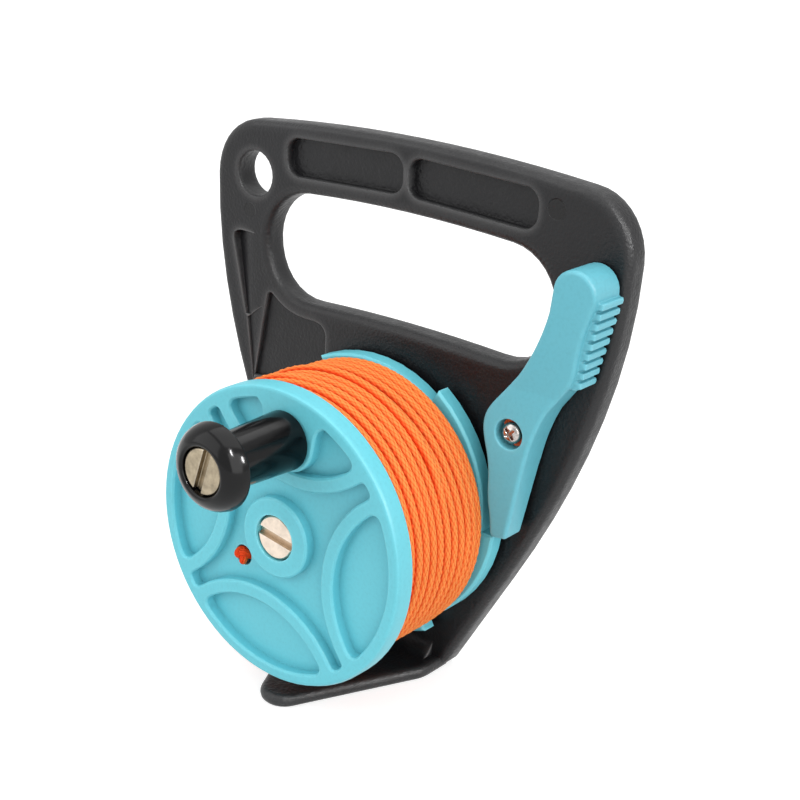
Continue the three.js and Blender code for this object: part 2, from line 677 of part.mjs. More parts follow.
// The outer layer fills the room between the flanges in half turns.
const LINE_ROOM = LINE_W - LINE_D - 2 * CLEAR;
const LINE_TURNS = Math.floor((2 * LINE_ROOM) / (LINE_D + LINE_SPACE)) / 2;
const LINE_PITCH = LINE_ROOM / LINE_TURNS;
const LINE_BEND = LINE_D * 0.9; // where an end turns down into the layers below
const LINE_CENTRE_R = FLANGE_R - LINE_BELOW_RIM - LINE_D / 2;
const LOOP_STEPS = 24;
// The core stays clear of the flat sides between the steps of each loop.
const CORE_R = (LINE_CENTRE_R - LINE_D / 2) * Math.cos(Math.PI / LOOP_STEPS) - CLEAR;

// Rings of the outer layer: the turns, and at each end a bend into the layers below.
function windingRings() {
  const steps = LOOP_STEPS;
  const bend = LINE_BEND;
  const middle = (FLANGE_BACK + RATCHET_FRONT) / 2;
  const first = middle - (LINE_TURNS * LINE_PITCH) / 2;
  const rings = [];
  const ring = (turn, y, sweep, straight) => {
    const out = new THREE.Vector3(Math.cos(turn), 0, Math.sin(turn));
    const along = new THREE.Vector3(-Math.sin(turn), 0, Math.cos(turn));
    const normal = out.clone().multiplyScalar(Math.cos(sweep)).addScaledVector(along, Math.sin(sweep));
    const centre = out.clone().multiplyScalar(LINE_CENTRE_R - bend).addScaledVector(normal, bend);
    centre.addScaledVector(out, -straight);
    centre.y = y;
    rings.push({ centre, normal });
  };
  const start = rad(LINE_START_ANGLE);
  const last = start + 2 * Math.PI * LINE_TURNS;
  ring(start, first, -Math.PI / 2, LINE_D);
  for (let i = 4; i > 0; i -= 1) ring(start, first, (-Math.PI / 8) * i, 0);
  for (let i = 0; i <= steps * LINE_TURNS; i += 1) {
    const share = i / (steps * LINE_TURNS);
    ring(start + (last - start) * share, first + LINE_TURNS * LINE_PITCH * share, 0, 0);
  }
  for (let i = 1; i <= 4; i += 1) ring(last, first + LINE_TURNS * LINE_PITCH, (Math.PI / 8) * i, 0);
  ring(last, first + LINE_TURNS * LINE_PITCH, Math.PI / 2, LINE_D);
  return rings;
}

// A closed tube through rings of points, each ring square to its normal and the spool axis.
function ringTube(rings, radius, sides) {
  const positions = [];
  for (const { centre, normal } of rings) {
    for (let k = 0; k < sides; k += 1) {
      const angle = (2 * Math.PI * (k + 0.5)) / sides;
      const p = centre.clone().addScaledVector(normal, radius * Math.sin(angle));
      p.y += radius * Math.cos(angle);
      positions.push(p.x, p.y, p.z);
    }
  }
  const index = [];
  for (let i = 0; i + 1 < rings.length; i += 1) {
    for (let k = 0; k < sides; k += 1) {
      const j = (k + 1) % sides;
      const [a, b, c, d] = [i * sides + k, i * sides + j, (i + 1) * sides + k, (i + 1) * sides + j];
      index.push(a, b, d, a, d, c);
    }
  }
  const last = (rings.length - 1) * sides;
  for (let k = 1; k + 1 < sides; k += 1) {
    index.push(0, k + 1, k, last, last + k, last + k + 1);
  }
  const geometry = new THREE.BufferGeometry();
  geometry.setAttribute('position', new THREE.Float32BufferAttribute(positions, 3));
  geometry.setIndex(index);
  const body = solid(geometry);
  return { body: body.volume() < 0 ? solid(flipped(geometry)) : body, positions };
}

// Least distance between points of the tube that lie at least half a turn apart along it.
function leastGap(positions, sides, apart) {
  const count = positions.length / 3;
  let least = Infinity;
  for (let i = 0; i < count; i += 1) {
    for (let j = i + apart * sides; j < count; j += 1) {
      const dx = positions[3 * i] - positions[3 * j];
      const dy = positions[3 * i + 1] - positions[3 * j + 1];
      if (Math.abs(dy) > 2 * LINE_PITCH) continue;
      const dz = positions[3 * i + 2] - positions[3 * j + 2];
      least = Math.min(least, Math.hypot(dx, dy, dz));
    }
  }
  return least;
}

function lineWinding() {
  const { body, positions } = ringTube(windingRings(), LINE_D / 2, 6);
  console.log(`line_outer_layer: least gap to itself ${leastGap(positions, 6, 12).toFixed(2)} mm`);
  return body;
}

function lineCore() {
  const front = FLANGE_BACK + CLEAR;
  const back = RATCHET_FRONT - CLEAR;
  let body = tube(DRUM_R + CLEAR, CORE_R, front, back, 0, 0, 72);
  const rings = windingRings();
  // A flared hole at each end of the outer layer, where the line dives into the layers below.
  const deep = LINE_BEND + LINE_D + CLEAR;
  const hole = turned([
    [0, 0], [LINE_D / 2 + CLEAR, 0], [LINE_D / 2 + CLEAR, LINE_D / 2], [LINE_D * 1.3, deep], [0, deep],
  ], 0, 0, 16).rotate([0, 0, -90]);
  [rings[0], rings[rings.length - 1]].forEach((end, i) => {
    const side = i === 0 ? -LINE_BEND : LINE_BEND;
    const placed = hole.translate([LINE_CENTRE_R - deep, end.centre.y, side]);
    body = body.subtract(placed.rotate([0, -LINE_START_ANGLE - i * 360 * LINE_TURNS, 0]));
  });
  return body;
}

// The knot in the tie hole: two snug wraps and the end that leads back to the line.
function lineKnot() {
  const [x, z] = polar(TIE_HOLE_AT, TIE_HOLE_ANGLE);
  const r = TIE_HOLE_R - CLEAR - 0.3;
  const floor = FLANGE_FRONT + POCKET_DEPTH;
  return turned([
    [0, floor - 2.4], [r * 0.6, floor - 2.2], [r * 0.95, floor - 1.4], [r, floor - 0.8],
    [r * 0.86, floor + 0.1], [r, floor + 0.9], [r * 0.8, floor + 1.9], [LINE_D * 0.45, floor + 2.3],
    [LINE_D * 0.45, FLANGE_BACK], [0, FLANGE_BACK],
  ], x, z, 20);
}

// A pan-headed machine screw with a straight slot; the head faces -Y.
function slottedScrew(headFront, headR, headT, shankR, end, slotAngle, x, z) {
  const body = turned([
    [0, headFront], [headR - 0.5, headFront], [headR, headFront + 0.5], [headR, headFront + headT],
    [shankR, headFront + headT], [shankR, end - 0.5], [shankR - 0.5, end], [0, end],
  ], 0, 0, 32);
  const slot = block(-headR - 1, headR + 1, headFront - 1, headFront + SLOT_DEPTH, -SLOT_W / 2, SLOT_W / 2);
  return cut(body, slot.rotate([0, -slotAngle, 0])).translate([x, 0, z]);
}

function nut(from, to, x, z) {
  return cut(hexagon(NUT_FLATS, from, to, x, z), rod(BOLT_R + CLEAR, from - 1, to + 1, x, z, 32));
}

// The grip: a slightly tapered handle, a lip and a domed cap that is widest at its back.
function crankGrip() {
  const base = FLANGE_FRONT - CLEAR;
  const tip = FLANGE_FRONT - GRIP_LENGTH;
  const under = tip + CAP_LENGTH;
  const path = new THREE.Path();
  const bore = SLEEVE_R + CLEAR - 0.4;
  const mouth = HEAD_R + CLEAR;
  path.moveTo(bore, base);
  path.lineTo(GRIP_BASE_R - 0.6, base);
  path.lineTo(GRIP_BASE_R, base - 0.6);
  path.lineTo(GRIP_NECK_R, under + 1.2);
  path.lineTo(GRIP_NECK_R + 1.2, under + 0.8);
  path.lineTo(GRIP_NECK_R + 1.4, under);
  path.lineTo(CAP_R - 0.5, under);
  path.lineTo(CAP_R, under - 0.4);
  path.lineTo(CAP_R, under - 1);
  path.bezierCurveTo(CAP_R - 0.2, under - CAP_LENGTH * 0.55, CAP_R - 2.3, tip + 0.5, mouth + 1.2, tip);
  path.quadraticCurveTo(mouth, tip, mouth, tip + 0.8);
  path.lineTo(mouth, tip + CAP_RECESS);
  path.lineTo(bore, tip + CAP_RECESS);
  path.lineTo(bore, base);
  return turned(path.getPoints(4).map((p) => [p.x, p.y]), 0, 0, 36);
}

// Outline of the stop lever, drawn round its pivot.
function leverOutline() {
  const inner = -TIP_INNER;
  const outer = inner + TIP_W;
  const low = -TIP_DROP;
  const path = new THREE.Path();
  path.moveTo(inner + 1.6, low);
  path.lineTo(outer - 1.4, low + 0.4);
  path.quadraticCurveTo(outer, low + 0.4, outer + 0.1, low + 2);
  path.lineTo(outer + 3.6, low * 0.29);
  path.bezierCurveTo(outer + 4.6, -5.5, outer + 5.2, -1.6, SHOULDER_X * 0.53, SHOULDER_Z * 0.13);
  path.bezierCurveTo(SHOULDER_X * 0.58, SHOULDER_Z * 0.29, SHOULDER_X * 0.65, SHOULDER_Z * 0.47,
    SHOULDER_X * 0.73, SHOULDER_Z * 0.61);
  path.lineTo(SHOULDER_X, SHOULDER_Z);
  const [armX, armZ] = [ribLine(HEAD_UP - 23) - 0.6, HEAD_UP - 23];
  const join = [HEAD_IN + HEAD_ROUND * Math.cos(rad(-15)), HEAD_UP + HEAD_ROUND * Math.sin(rad(-15))];
  path.bezierCurveTo(armX - 1.4, SHOULDER_Z + 3.8, armX - 0.6, armZ - 3, armX, armZ);
  path.bezierCurveTo(armX + 0.6, armZ + 6.5, join[0] - 3.4, join[1] - 8, ...join);
  path.absarc(HEAD_IN, HEAD_UP, HEAD_ROUND, rad(-15), rad(172), false);
  path.lineTo(HEAD_IN - 8.2, HEAD_UP - 7);
  path.bezierCurveTo(
    HEAD_IN - 9.8, HEAD_UP - 13.5,
    HEAD_IN - 13.6, HEAD_UP - 22.5,
    HEAD_IN - 18, HEAD_UP - 29,
  );
  path.lineTo(BULGE * -0.47, BULGE * 1.17);
  path.bezierCurveTo(BULGE * -0.8, BULGE * 0.77, -BULGE, BULGE * 0.5, -BULGE, 0.8);
  path.bezierCurveTo(-BULGE, -3.2, BULGE * -0.78, -7.2, BULGE * -0.71, low * 0.33);
  path.quadraticCurveTo(BULGE * -0.65, low * 0.44, BULGE * -0.65, low * 0.56);
  // The inner side of the tip follows the circle of the teeth.
  const teeth = FLANGE_R + TIP_GAP;
  for (const height of [low * 0.68, low * 0.78, low * 0.87, low + 1.6]) {
    path.lineTo(Math.sqrt(teeth ** 2 - (PIVOT_Z - AXIS_Z + height) ** 2) - PIVOT_X, height);
  }
  path.quadraticCurveTo(inner, low, inner + 1.6, low);
  return corners(path, 7);
}

// The line that the feet of the thumb ribs follow.
function ribLine(z) {
  return HEAD_IN + HEAD_ROUND - 0.2 + (z - HEAD_UP + 1.9) * RIB_LEAN;
}

// The thumb ribs: a row of ridges across the outer side of the upper arm.
function leverRibs() {
  const top = HEAD_UP - 1.5;
  const path = new THREE.Path();
  path.moveTo(ribLine(top) - 3, top + 1);
  for (let i = 0; i < RIBS; i += 1) {
    const z = top - RIB_PITCH * i;
    path.lineTo(ribLine(z), z + 0.6);
    path.lineTo(ribLine(z) + RIB_OUT, z - 0.4);
    path.lineTo(ribLine(z) + RIB_OUT - 0.4, z - 1.3);
  }
  const low = top - RIB_PITCH * RIBS;
  path.lineTo(ribLine(low), low + 0.4);
  path.lineTo(ribLine(low) - 3, low + 1);
  return slab(corners(path, 2), [[LEVER_FRONT + 1.6, -0.5], [LEVER_FRONT + 2.4, 0], [LEVER_BACK, 0]]);
}

// The arm above the pivot grows thicker at its front and the lower end thinner at its back.
function leaned(blank) {
  const [upper, rest] = blank.splitByPlane([0, 0, 1], ARM_FROM);
  const [middle, lower] = rest.splitByPlane([0, 0, 1], TIP_FROM);
  const arm = upper.warp((v) => {
    v[1] -= ARM_LEAN * (v[2] - ARM_FROM) * ((LEVER_BACK - v[1]) / LEVER_T);
  });
  const tip = lower.warp((v) => {
    v[1] -= TIP_LEAN * (TIP_FROM - v[2]) * ((v[1] - LEVER_FRONT) / LEVER_T);
  });
  return join(arm, middle, tip);
}

function stopLever() {
  const blank = slab(leverOutline(), [
    [LEVER_FRONT, -0.9], [LEVER_FRONT + 0.3, -0.3], [LEVER_FRONT + 0.9, 0],
    [LEVER_BACK - 0.4, 0], [LEVER_BACK, -0.4],
  ]);
  const floor = LEVER_FRONT + COUNTERBORE_DEPTH;
  const pocket = SPRING_R + SPRING_WIRE / 2 + SPRING_ROOM;
  const depth = SPRING_TURNS * SPRING_PITCH + SPRING_WIRE + CLEAR;
  return cut(
    leaned(join(blank, leverRibs())),
    rod(COUNTERBORE_R, LEVER_FRONT - 1, floor, 0, 0, 28),
    rod(BUSH_R + CLEAR, LEVER_FRONT, 0),
    rod(pocket, LEVER_BACK - depth, 0),
  );
}

function leverBush() {
  const floor = LEVER_FRONT + COUNTERBORE_DEPTH;
  const collar = floor - CLEAR - BUSH_FLANGE_T;
  return turned([
    [PIN_R + CLEAR, collar], [BUSH_FLANGE_R, collar], [BUSH_FLANGE_R, collar + BUSH_FLANGE_T],
    [BUSH_R, collar + BUSH_FLANGE_T], [BUSH_R, -CLEAR], [PIN_R + CLEAR, -CLEAR], [PIN_R + CLEAR, collar],
  ]);
}

// A round-headed screw with a cross recess.
function leverScrew() {
  const seat = LEVER_FRONT + COUNTERBORE_DEPTH - 2 * CLEAR - BUSH_FLANGE_T;
  const top = seat - PIN_HEAD_T;
  const body = turned([
    [0, top], [PIN_HEAD_R * 0.55, top + 0.15], [PIN_HEAD_R * 0.85, top + 0.6], [PIN_HEAD_R, top + 1.1],
    [PIN_HEAD_R, seat], [PIN_R, seat], [PIN_R, INSERT_T - 0.4], [PIN_R - 0.4, INSERT_T], [0, INSERT_T],
  ], 0, 0, 24);
  const arm = PIN_HEAD_R * 0.6;
  const bar = block(-arm, arm, top - 1, top + 1, -0.4, 0.4);
  return cut(body, bar.rotate([0, 45, 0]), bar.rotate([0, -45, 0]));
}

function leverInsert() {
  return tube(PIN_R + CLEAR, INSERT_R, 0.1, INSERT_T);
}

// The torsion spring that lies round the bush in the back of the lever.
function leverSpring() {
  const steps = 10;
  const total = steps * SPRING_TURNS;
  const start = LEVER_BACK - SPRING_WIRE / 2 - SPRING_TURNS * SPRING_PITCH;
  const rings = [];
  for (let i = 0; i <= total; i += 1) {
    const turn = (2 * Math.PI * i) / steps;
    const normal = new THREE.Vector3(Math.cos(turn), 0, Math.sin(turn));
    const centre = normal.clone().multiplyScalar(SPRING_R);
    centre.y = start + (SPRING_PITCH * i) / steps;
    rings.push({ centre, normal });
  }
  return ringTube(rings, SPRING_WIRE / 2, 6).body;
}

const reel = new THREE.Group();
const spool = new THREE.Group();
const crank = new THREE.Group();
const lever = new THREE.Group();
spool.position.set(0, 0, AXIS_Z);
const [crankX, crankZ] = polar(CRANK_R, CRANK_ANGLE);
crank.position.set(crankX, 0, crankZ);
lever.position.set(PIVOT_X, 0, PIVOT_Z);

const headFront = FLANGE_FRONT + HEAD_SINK;
const headSeat = headFront + HEAD_T + CLEAR;
const sleeveFront = headSeat + WASHER_T + CLEAR;
const nutFrom = PLATE_T - NUT_T - CLEAR;
const screwFront = FLANGE_FRONT - GRIP_LENGTH + 0.6;
const sleeveBack = FLANGE_FRONT - CLEAR;
const axleBolt = slottedScrew(headFront, HEAD_R, HEAD_T, BOLT_R, PLATE_T - CLEAR, -8.5, 0, 0);
const headWasher = tube(BOLT_R + CLEAR, HEAD_R - 0.1, headSeat, headSeat + WASHER_T);
const thrustFront = -BOSS_H - THRUST_T - CLEAR;
const thrustWasher = tube(SLEEVE_R + CLEAR, THRUST_R, thrustFront, -BOSS_H - CLEAR);
const nutWasherFront = nutFrom - CLEAR - WASHER_T;
const nutWasher = tube(BOLT_R + CLEAR, HEAD_R - 0.4, nutWasherFront, nutFrom - CLEAR);
const crankSleeveFront = screwFront + HEAD_T + CLEAR;
const crankSleeve = tube(BOLT_R + CLEAR, SLEEVE_R - 0.4, crankSleeveFront, sleeveBack);
const crankScrewBack = FLANGE_BACK - CLEAR;
const crankScrew = slottedScrew(screwFront, HEAD_R, HEAD_T, BOLT_R, crankScrewBack, -107, 0, 0);

reel.add(
  mesh('frame', frame(), 0x1d1e20, 0.62, 0),
  spool,
  lever,
);
spool.add(
  mesh('front_flange', frontFlange(), TEAL, 0.42, 0),
  mesh('ratchet_drum', ratchetDrum(), TEAL, 0.42, 0),
  mesh('line_core', lineCore(), 0xd9541c, 0.9, 0),
  mesh('line_outer_layer', lineWinding(), 0xf0682a, 0.85, 0),
  mesh('line_end_knot', lineKnot(), 0xe85f24, 0.85, 0),
  mesh('axle_bolt', axleBolt, 0xc9c3b8, 0.28, 1),
  mesh('axle_head_washer', headWasher, 0xb9bcc0, 0.35, 1),
  mesh('axle_sleeve', tube(BOLT_R + CLEAR, SLEEVE_R, sleeveFront, -BOSS_H - CLEAR), 0xa9adb2, 0.35, 1),
  mesh('axle_thrust_washer', thrustWasher, 0xe8e6df, 0.5, 0),
  mesh('axle_nut', nut(nutFrom, nutFrom + NUT_T, 0, 0), 0xb9bcc0, 0.35, 1),
  mesh('axle_nut_washer', nutWasher, 0xb9bcc0, 0.35, 1),
  crank,
);
crank.add(
  mesh('crank_grip', crankGrip(), 0x0c0c0d, 0.16, 0),
  mesh('crank_sleeve', crankSleeve, 0xa9adb2, 0.35, 1),
  mesh('crank_screw', crankScrew, 0xc9c3b8, 0.28, 1),
  mesh('crank_nut', nut(FLANGE_BACK - CRANK_NUT_T, FLANGE_BACK, 0, 0), 0xb9bcc0, 0.35, 1),
);
lever.add(
  mesh('stop_lever', stopLever(), TEAL, 0.42, 0),
  mesh('lever_bush', leverBush(), 0xf0682a, 0.5, 0),
  mesh('lever_screw', leverScrew(), 0xb5b0a8, 0.3, 1),
  mesh('lever_insert', leverInsert(), 0xb08d4a, 0.35, 1),
  mesh('lever_spring', leverSpring(), 0xb9bcc0, 0.3, 1),
);

export default reel;
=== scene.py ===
"""The dive reel as the photograph shows it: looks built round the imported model.

Lengths are in millimetres where nothing else is said. Meshes, sockets and modifiers take metres.
"""
import json
import math
import random

import bmesh
import bpy
import numpy as np
from mathutils import Matrix, Vector


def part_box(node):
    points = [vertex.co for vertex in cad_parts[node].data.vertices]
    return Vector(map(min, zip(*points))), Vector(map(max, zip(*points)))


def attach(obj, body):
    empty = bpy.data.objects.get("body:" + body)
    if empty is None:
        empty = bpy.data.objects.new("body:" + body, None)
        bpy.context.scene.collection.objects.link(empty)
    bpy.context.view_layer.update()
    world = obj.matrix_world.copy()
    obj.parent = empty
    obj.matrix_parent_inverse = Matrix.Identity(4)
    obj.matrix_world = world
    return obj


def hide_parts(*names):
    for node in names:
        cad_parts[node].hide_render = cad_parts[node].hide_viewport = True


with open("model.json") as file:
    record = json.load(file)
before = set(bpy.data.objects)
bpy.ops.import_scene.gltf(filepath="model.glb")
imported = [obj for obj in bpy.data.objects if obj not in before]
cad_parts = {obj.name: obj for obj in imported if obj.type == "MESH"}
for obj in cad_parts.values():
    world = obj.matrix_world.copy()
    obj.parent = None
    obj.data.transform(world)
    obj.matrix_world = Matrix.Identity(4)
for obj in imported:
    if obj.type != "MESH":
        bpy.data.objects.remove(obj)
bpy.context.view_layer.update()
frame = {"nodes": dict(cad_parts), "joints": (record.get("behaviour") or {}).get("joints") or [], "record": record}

SEED = 11
MM = 0.001
CLEAR = 0.3  # gap that solids keep where the real pieces touch


def in_mm(place):
    """A place in metres as millimetres, to a thousandth."""
    return [round(value / MM, 3) for value in place]


def front_and_back(node):
    """How far a node reaches along Y at rest: its front, towards the crank, and its back."""
    low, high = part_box(node)
    return in_mm((low[1], high[1]))


# Where the joints, as (x, z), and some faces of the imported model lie.
JOINT_AT = {joint["name"]: in_mm(joint["pos_m"])[::2] for joint in frame["joints"]}
AXLE = JOINT_AT["spool_spin"]
CRANK = JOINT_AT["crank_grip_spin"]
PIVOT = JOINT_AT["stop_lever_pivot"]
AXIS_Z = AXLE[1]
BOLT_FRONT = front_and_back("axle_bolt")[0]
CRANK_FRONT = front_and_back("crank_screw")[0]
LEVER_BACK = front_and_back("stop_lever")[1]
LINE_FRONT = round(front_and_back("line_core")[0] - CLEAR, 3)
LINE_BACK = round(front_and_back("line_core")[1] + CLEAR, 3)

# Camera, in metres, solved from the photograph's straight and round outlines.
CAMERA_AT = (0.27512, -0.35916, 0.25642)
CAMERA_RIGHT = (0.7834, 0.6190, 0.0553)
CAMERA_UP = (-0.2565, 0.2411, 0.9359)
CAMERA_NEAR = 0.01
LENS = 67.5
SENSOR = 36.0

# Studio, in metres and watts. What the camera sees is brighter than what lights the reel.
WORLD_LIGHT = 0.66
FLOOR_HALF = 4.0
FLOOR_GREY = 0.6
FLOOR_GLOW = 0.72
FLOOR_SHADE = 0.5
MIDDLE = (0, -0.03, 0.09)
LARGE_LAMPS = {
    "key": ((-1.0, -1.7, 1.3), (2.4, 2.2), 21),
    "fill": ((2.0, -0.8, 0.9), (2.0, 1.9), 28),
    "top": ((0.1, 0.2, 1.9), (2.2, 2.2), 23),
}
CAP = (0.0036, -0.085, 0.0912)
STRIP_SIZE = (0.04, 0.2)
STRIP_POWER = 6
STRIPS = {"strip_high": (0.62, -0.42, 0.80), "strip_low": (0.95, 0.10, 0.52)}

# Colours as the photograph shows them, in display values.
TEAL = (0.40, 0.765, 0.82)
LEVER_TEAL = (0.38, 0.695, 0.755)
BLACK = (0.066, 0.066, 0.075)
GLOSS_BLACK = (0.03, 0.03, 0.035)
WHITE = (0.9, 0.9, 0.87)
ORANGE = (1.0, 0.585, 0.29)
# The line's colour in painted shade, between its ribbons and on its sides.
ORANGE_PAINTED_SHADE = (0.97, 0.27, 0.03)
# The knot's two colours are the line's, darker: painted shade of the tie hole that it sits in.
KNOT_ORANGE_SHADED = (1.0, 0.5, 0.22)
KNOT_PAINTED_SHADE = (0.95, 0.27, 0.07)
BUSH = (0.97, 0.38, 0.15)
NICKEL = (0.87, 0.81, 0.745)
# A darker copy of the nickel for the crank screw: painted shade for the darker surroundings it reflects.
SHADED_NICKEL = (0.66, 0.61, 0.52)
SCREW_NICKEL = (0.84, 0.81, 0.79)
BRASS = (0.78, 0.62, 0.3)

# Colours in linear values: the painted highlight on metal edges, and the share of a colour that painted shade in a
# slot leaves.
METAL_EDGE_HIGHLIGHT = (0.93, 0.91, 0.87, 1.0)
SLOT_SHADE_SHARE = (0.42, 0.34, 0.22)
CROSS_SHADE_SHARE = (0.1, 0.08, 0.07)

# Marks that ejector pins left on the frame's front: x, z, radius and darkness.
PIN_MARKS = ((-64.4, 138.8, 2.6, 0.5), (54.9, 161.4, 3.2, 0.9))
PIN_SINK = 0.2  # how deep they are sunk
PIN_SOFT = 0.25  # width of their soft edge
PIN_BEHIND = 1.5  # how far behind the plate's front they still show

# Soft and broken edges, angles in degrees.
BEVEL_ANGLE = 32  # edges sharper than this are broken
FLAT_ANGLE = 0.6  # faces flatter than this to each other become one
DOUBLED = 0.01  # corners closer than this become one
WEAR_ROUNDS = 7
LEVER_WEAR = 0.22

# Slots of the two large screws, wider than in the plain solids; turns in degrees.
BOLT_TURN = -8.5
CRANK_TURN = -107
SLOT_HALF = 1.0  # half the width of a slot in the plain solids
SLOT_NEAR = 0.1  # how close to that a corner of the slot lies
SLOT_WIDER = 1.4
SLOT_DEPTH = 1.75
HEAD_RIM = 5.5  # corners farther out than this lie on the head's rim and stay on it

# The lever's screw head and the two ears of its bush.
HEAD_SEAT = -7.45  # where the head begins
SEAT_NEAR = 0.05
HEAD_WIDER = 1.21
HEAD_HIGHER = 1.5
SHANK_R = 2  # corners at the seat within this belong to the shank
CROSS_FROM = -10.1  # the cross in the head is painted in shade behind this
EARS = (0.592, -0.806)  # direction of the ears from the pivot
EAR_HALF = 2.3  # half their width
EAR_FLAT = 0.2  # share of that width that stays level
COLLAR_R = 3.9  # corners farther out than this lie on the collar's rim
COLLAR_BORE = 3
COLLAR_T = 1.5  # corners farther behind the seat than this stay
COLLAR_DIP = 2.2  # how far the front of the collar falls away beside the ears

# The bars of the lever's thumb grip, and the front of the arm that carries them.
BARS = 9
BAR_PITCH = 3.15
BAR_TOP = 46.2  # height of the highest above the pivot
BAR_FOOT = 26.3  # where it leaves the arm, to the side of the pivot
BAR_LEAN = 0.233  # how much nearer the pivot that is, for each mm further down
BAR_IN = 2.5  # how far a bar reaches into the arm and out of it
BAR_OUT = 1.5
BAR_BELOW = 1.55  # how far it reaches below and above its height
BAR_ABOVE = 0.4
BAR_SUNK = 1.9  # how far it stays behind the arm's front, and in front of its back
BAR_SHORT = 0.35
ARM_FRONT = -10.95  # the arm's front at a height above the pivot, and its lean from there on
ARM_FROM = 15
ARM_LEAN = 0.098

# The cord: half widths along the axis and outward, and its braid.
CORD_WIDE = 1.64
CORD_HIGH = 1.44
BRAID_ENDS = 7  # ribbons each way round the cord
SIDES = 2 * BRAID_ENDS
BRAID_PIC = 3.0  # length of one crossing
BRAID_FINE = 4  # points in that length
BRAID_LUMP = 0.24  # how far the crossings stand out
TIP_HIGH = 0.7  # how far an end is pointed, in half heights of the cord and in crossings
TIP_CROSSINGS = 0.6

# The winding: two layers over a plain ring. A layer starts at an angle, in degrees, and its ends
# lie inset from the flanges. Two stretches of the top one cross their neighbours.
TOP_LAYER_R = 44.5
TOP_TURNS = 10.9
TOP_START = 205
TOP_INSET = 1.7
TOP_CROSSINGS = ((4.45, 0.2, -1.9), (7.62, 0.2, -1.8))  # where and within how many turns, how far
TOP_ROW = 172.0
UNDER_LAYER_R = 41.9
UNDER_TURNS = 11
UNDER_START = 40
UNDER_INSET = 1.75
STEPS = 96  # points of a turn while it is laid
STRAY = 0.09  # height of the slow waves in the path
STRAY_RATES = (0.6, 3.4)  # fewest and most of them in a turn
STRAY_WAVES = 5
END_EASE = 6  # the waves fade out over one part in six of a layer at each end
CROSSING_LENGTH = 0.42  # in turns
NESTLE_WIDE = 0.75  # how far a turn presses into the one it rides on, along the axis and outward
NESTLE_HIGH = 0.25
SAME_LEVEL = 0.4  # turns that differ by less in height lie beside each other
WALL_GAP = 0.04  # to the flanges, and by which neighbours are pressed into each other
SMOOTH_REACH = 5
BARREL_FRONT = 1.3  # how much lower the winding lies next to each flange
BARREL_BACK = 0.9
BARREL_REACH = 8.0
BARREL_BEND = 1.5
LOPSIDED = 1.1  # fuller above than below
LOPSIDED_LESS = 0.4
HIGHEST_CENTRE = 46.1
TUCK_DEEP = 5.5  # how far a layer's ends dive, and in how many turns
TUCK_LENGTH = 0.055
TUCK_BEND = 1.6
CORE_BORE = 13.0
CORE_BELOW = 0.35  # below the under layer's centres
CORE_CUT = 0.8
CORE_SIDES = 96
CORE_CROSSINGS = 3.0  # crossings of the braid on each side

# The knot in the tie hole.
KNOT_AT = (-15.65, -51.1, 45.86)
KNOT_SIZE = 0.64  # a third of the distance from its middle to the ends of its loops
KNOT_DEPTH = 1.7
KNOT_OPEN = 0.45  # angle that the closed path leaves out at each end
KNOT_CORD = 1.2  # half width
KNOT_POINTS = 70
KNOT_ROUNDS = 6  # of smoothing
KNOT_LUMP = 0.1
KNOT_ROW = 14.0
LEAD_POINTS = 14


def linear(colour):
    """A display colour as the linear colour that shader sockets hold."""
    return tuple(((c + 0.055) / 1.055) ** 2.4 if c > 0.04045 else c / 12.92 for c in colour) + (1.0,)


def scaled(colour, factor, offset=0.0):
    return tuple(min(1.0, c * factor + offset) for c in colour[:3]) + (1.0,)


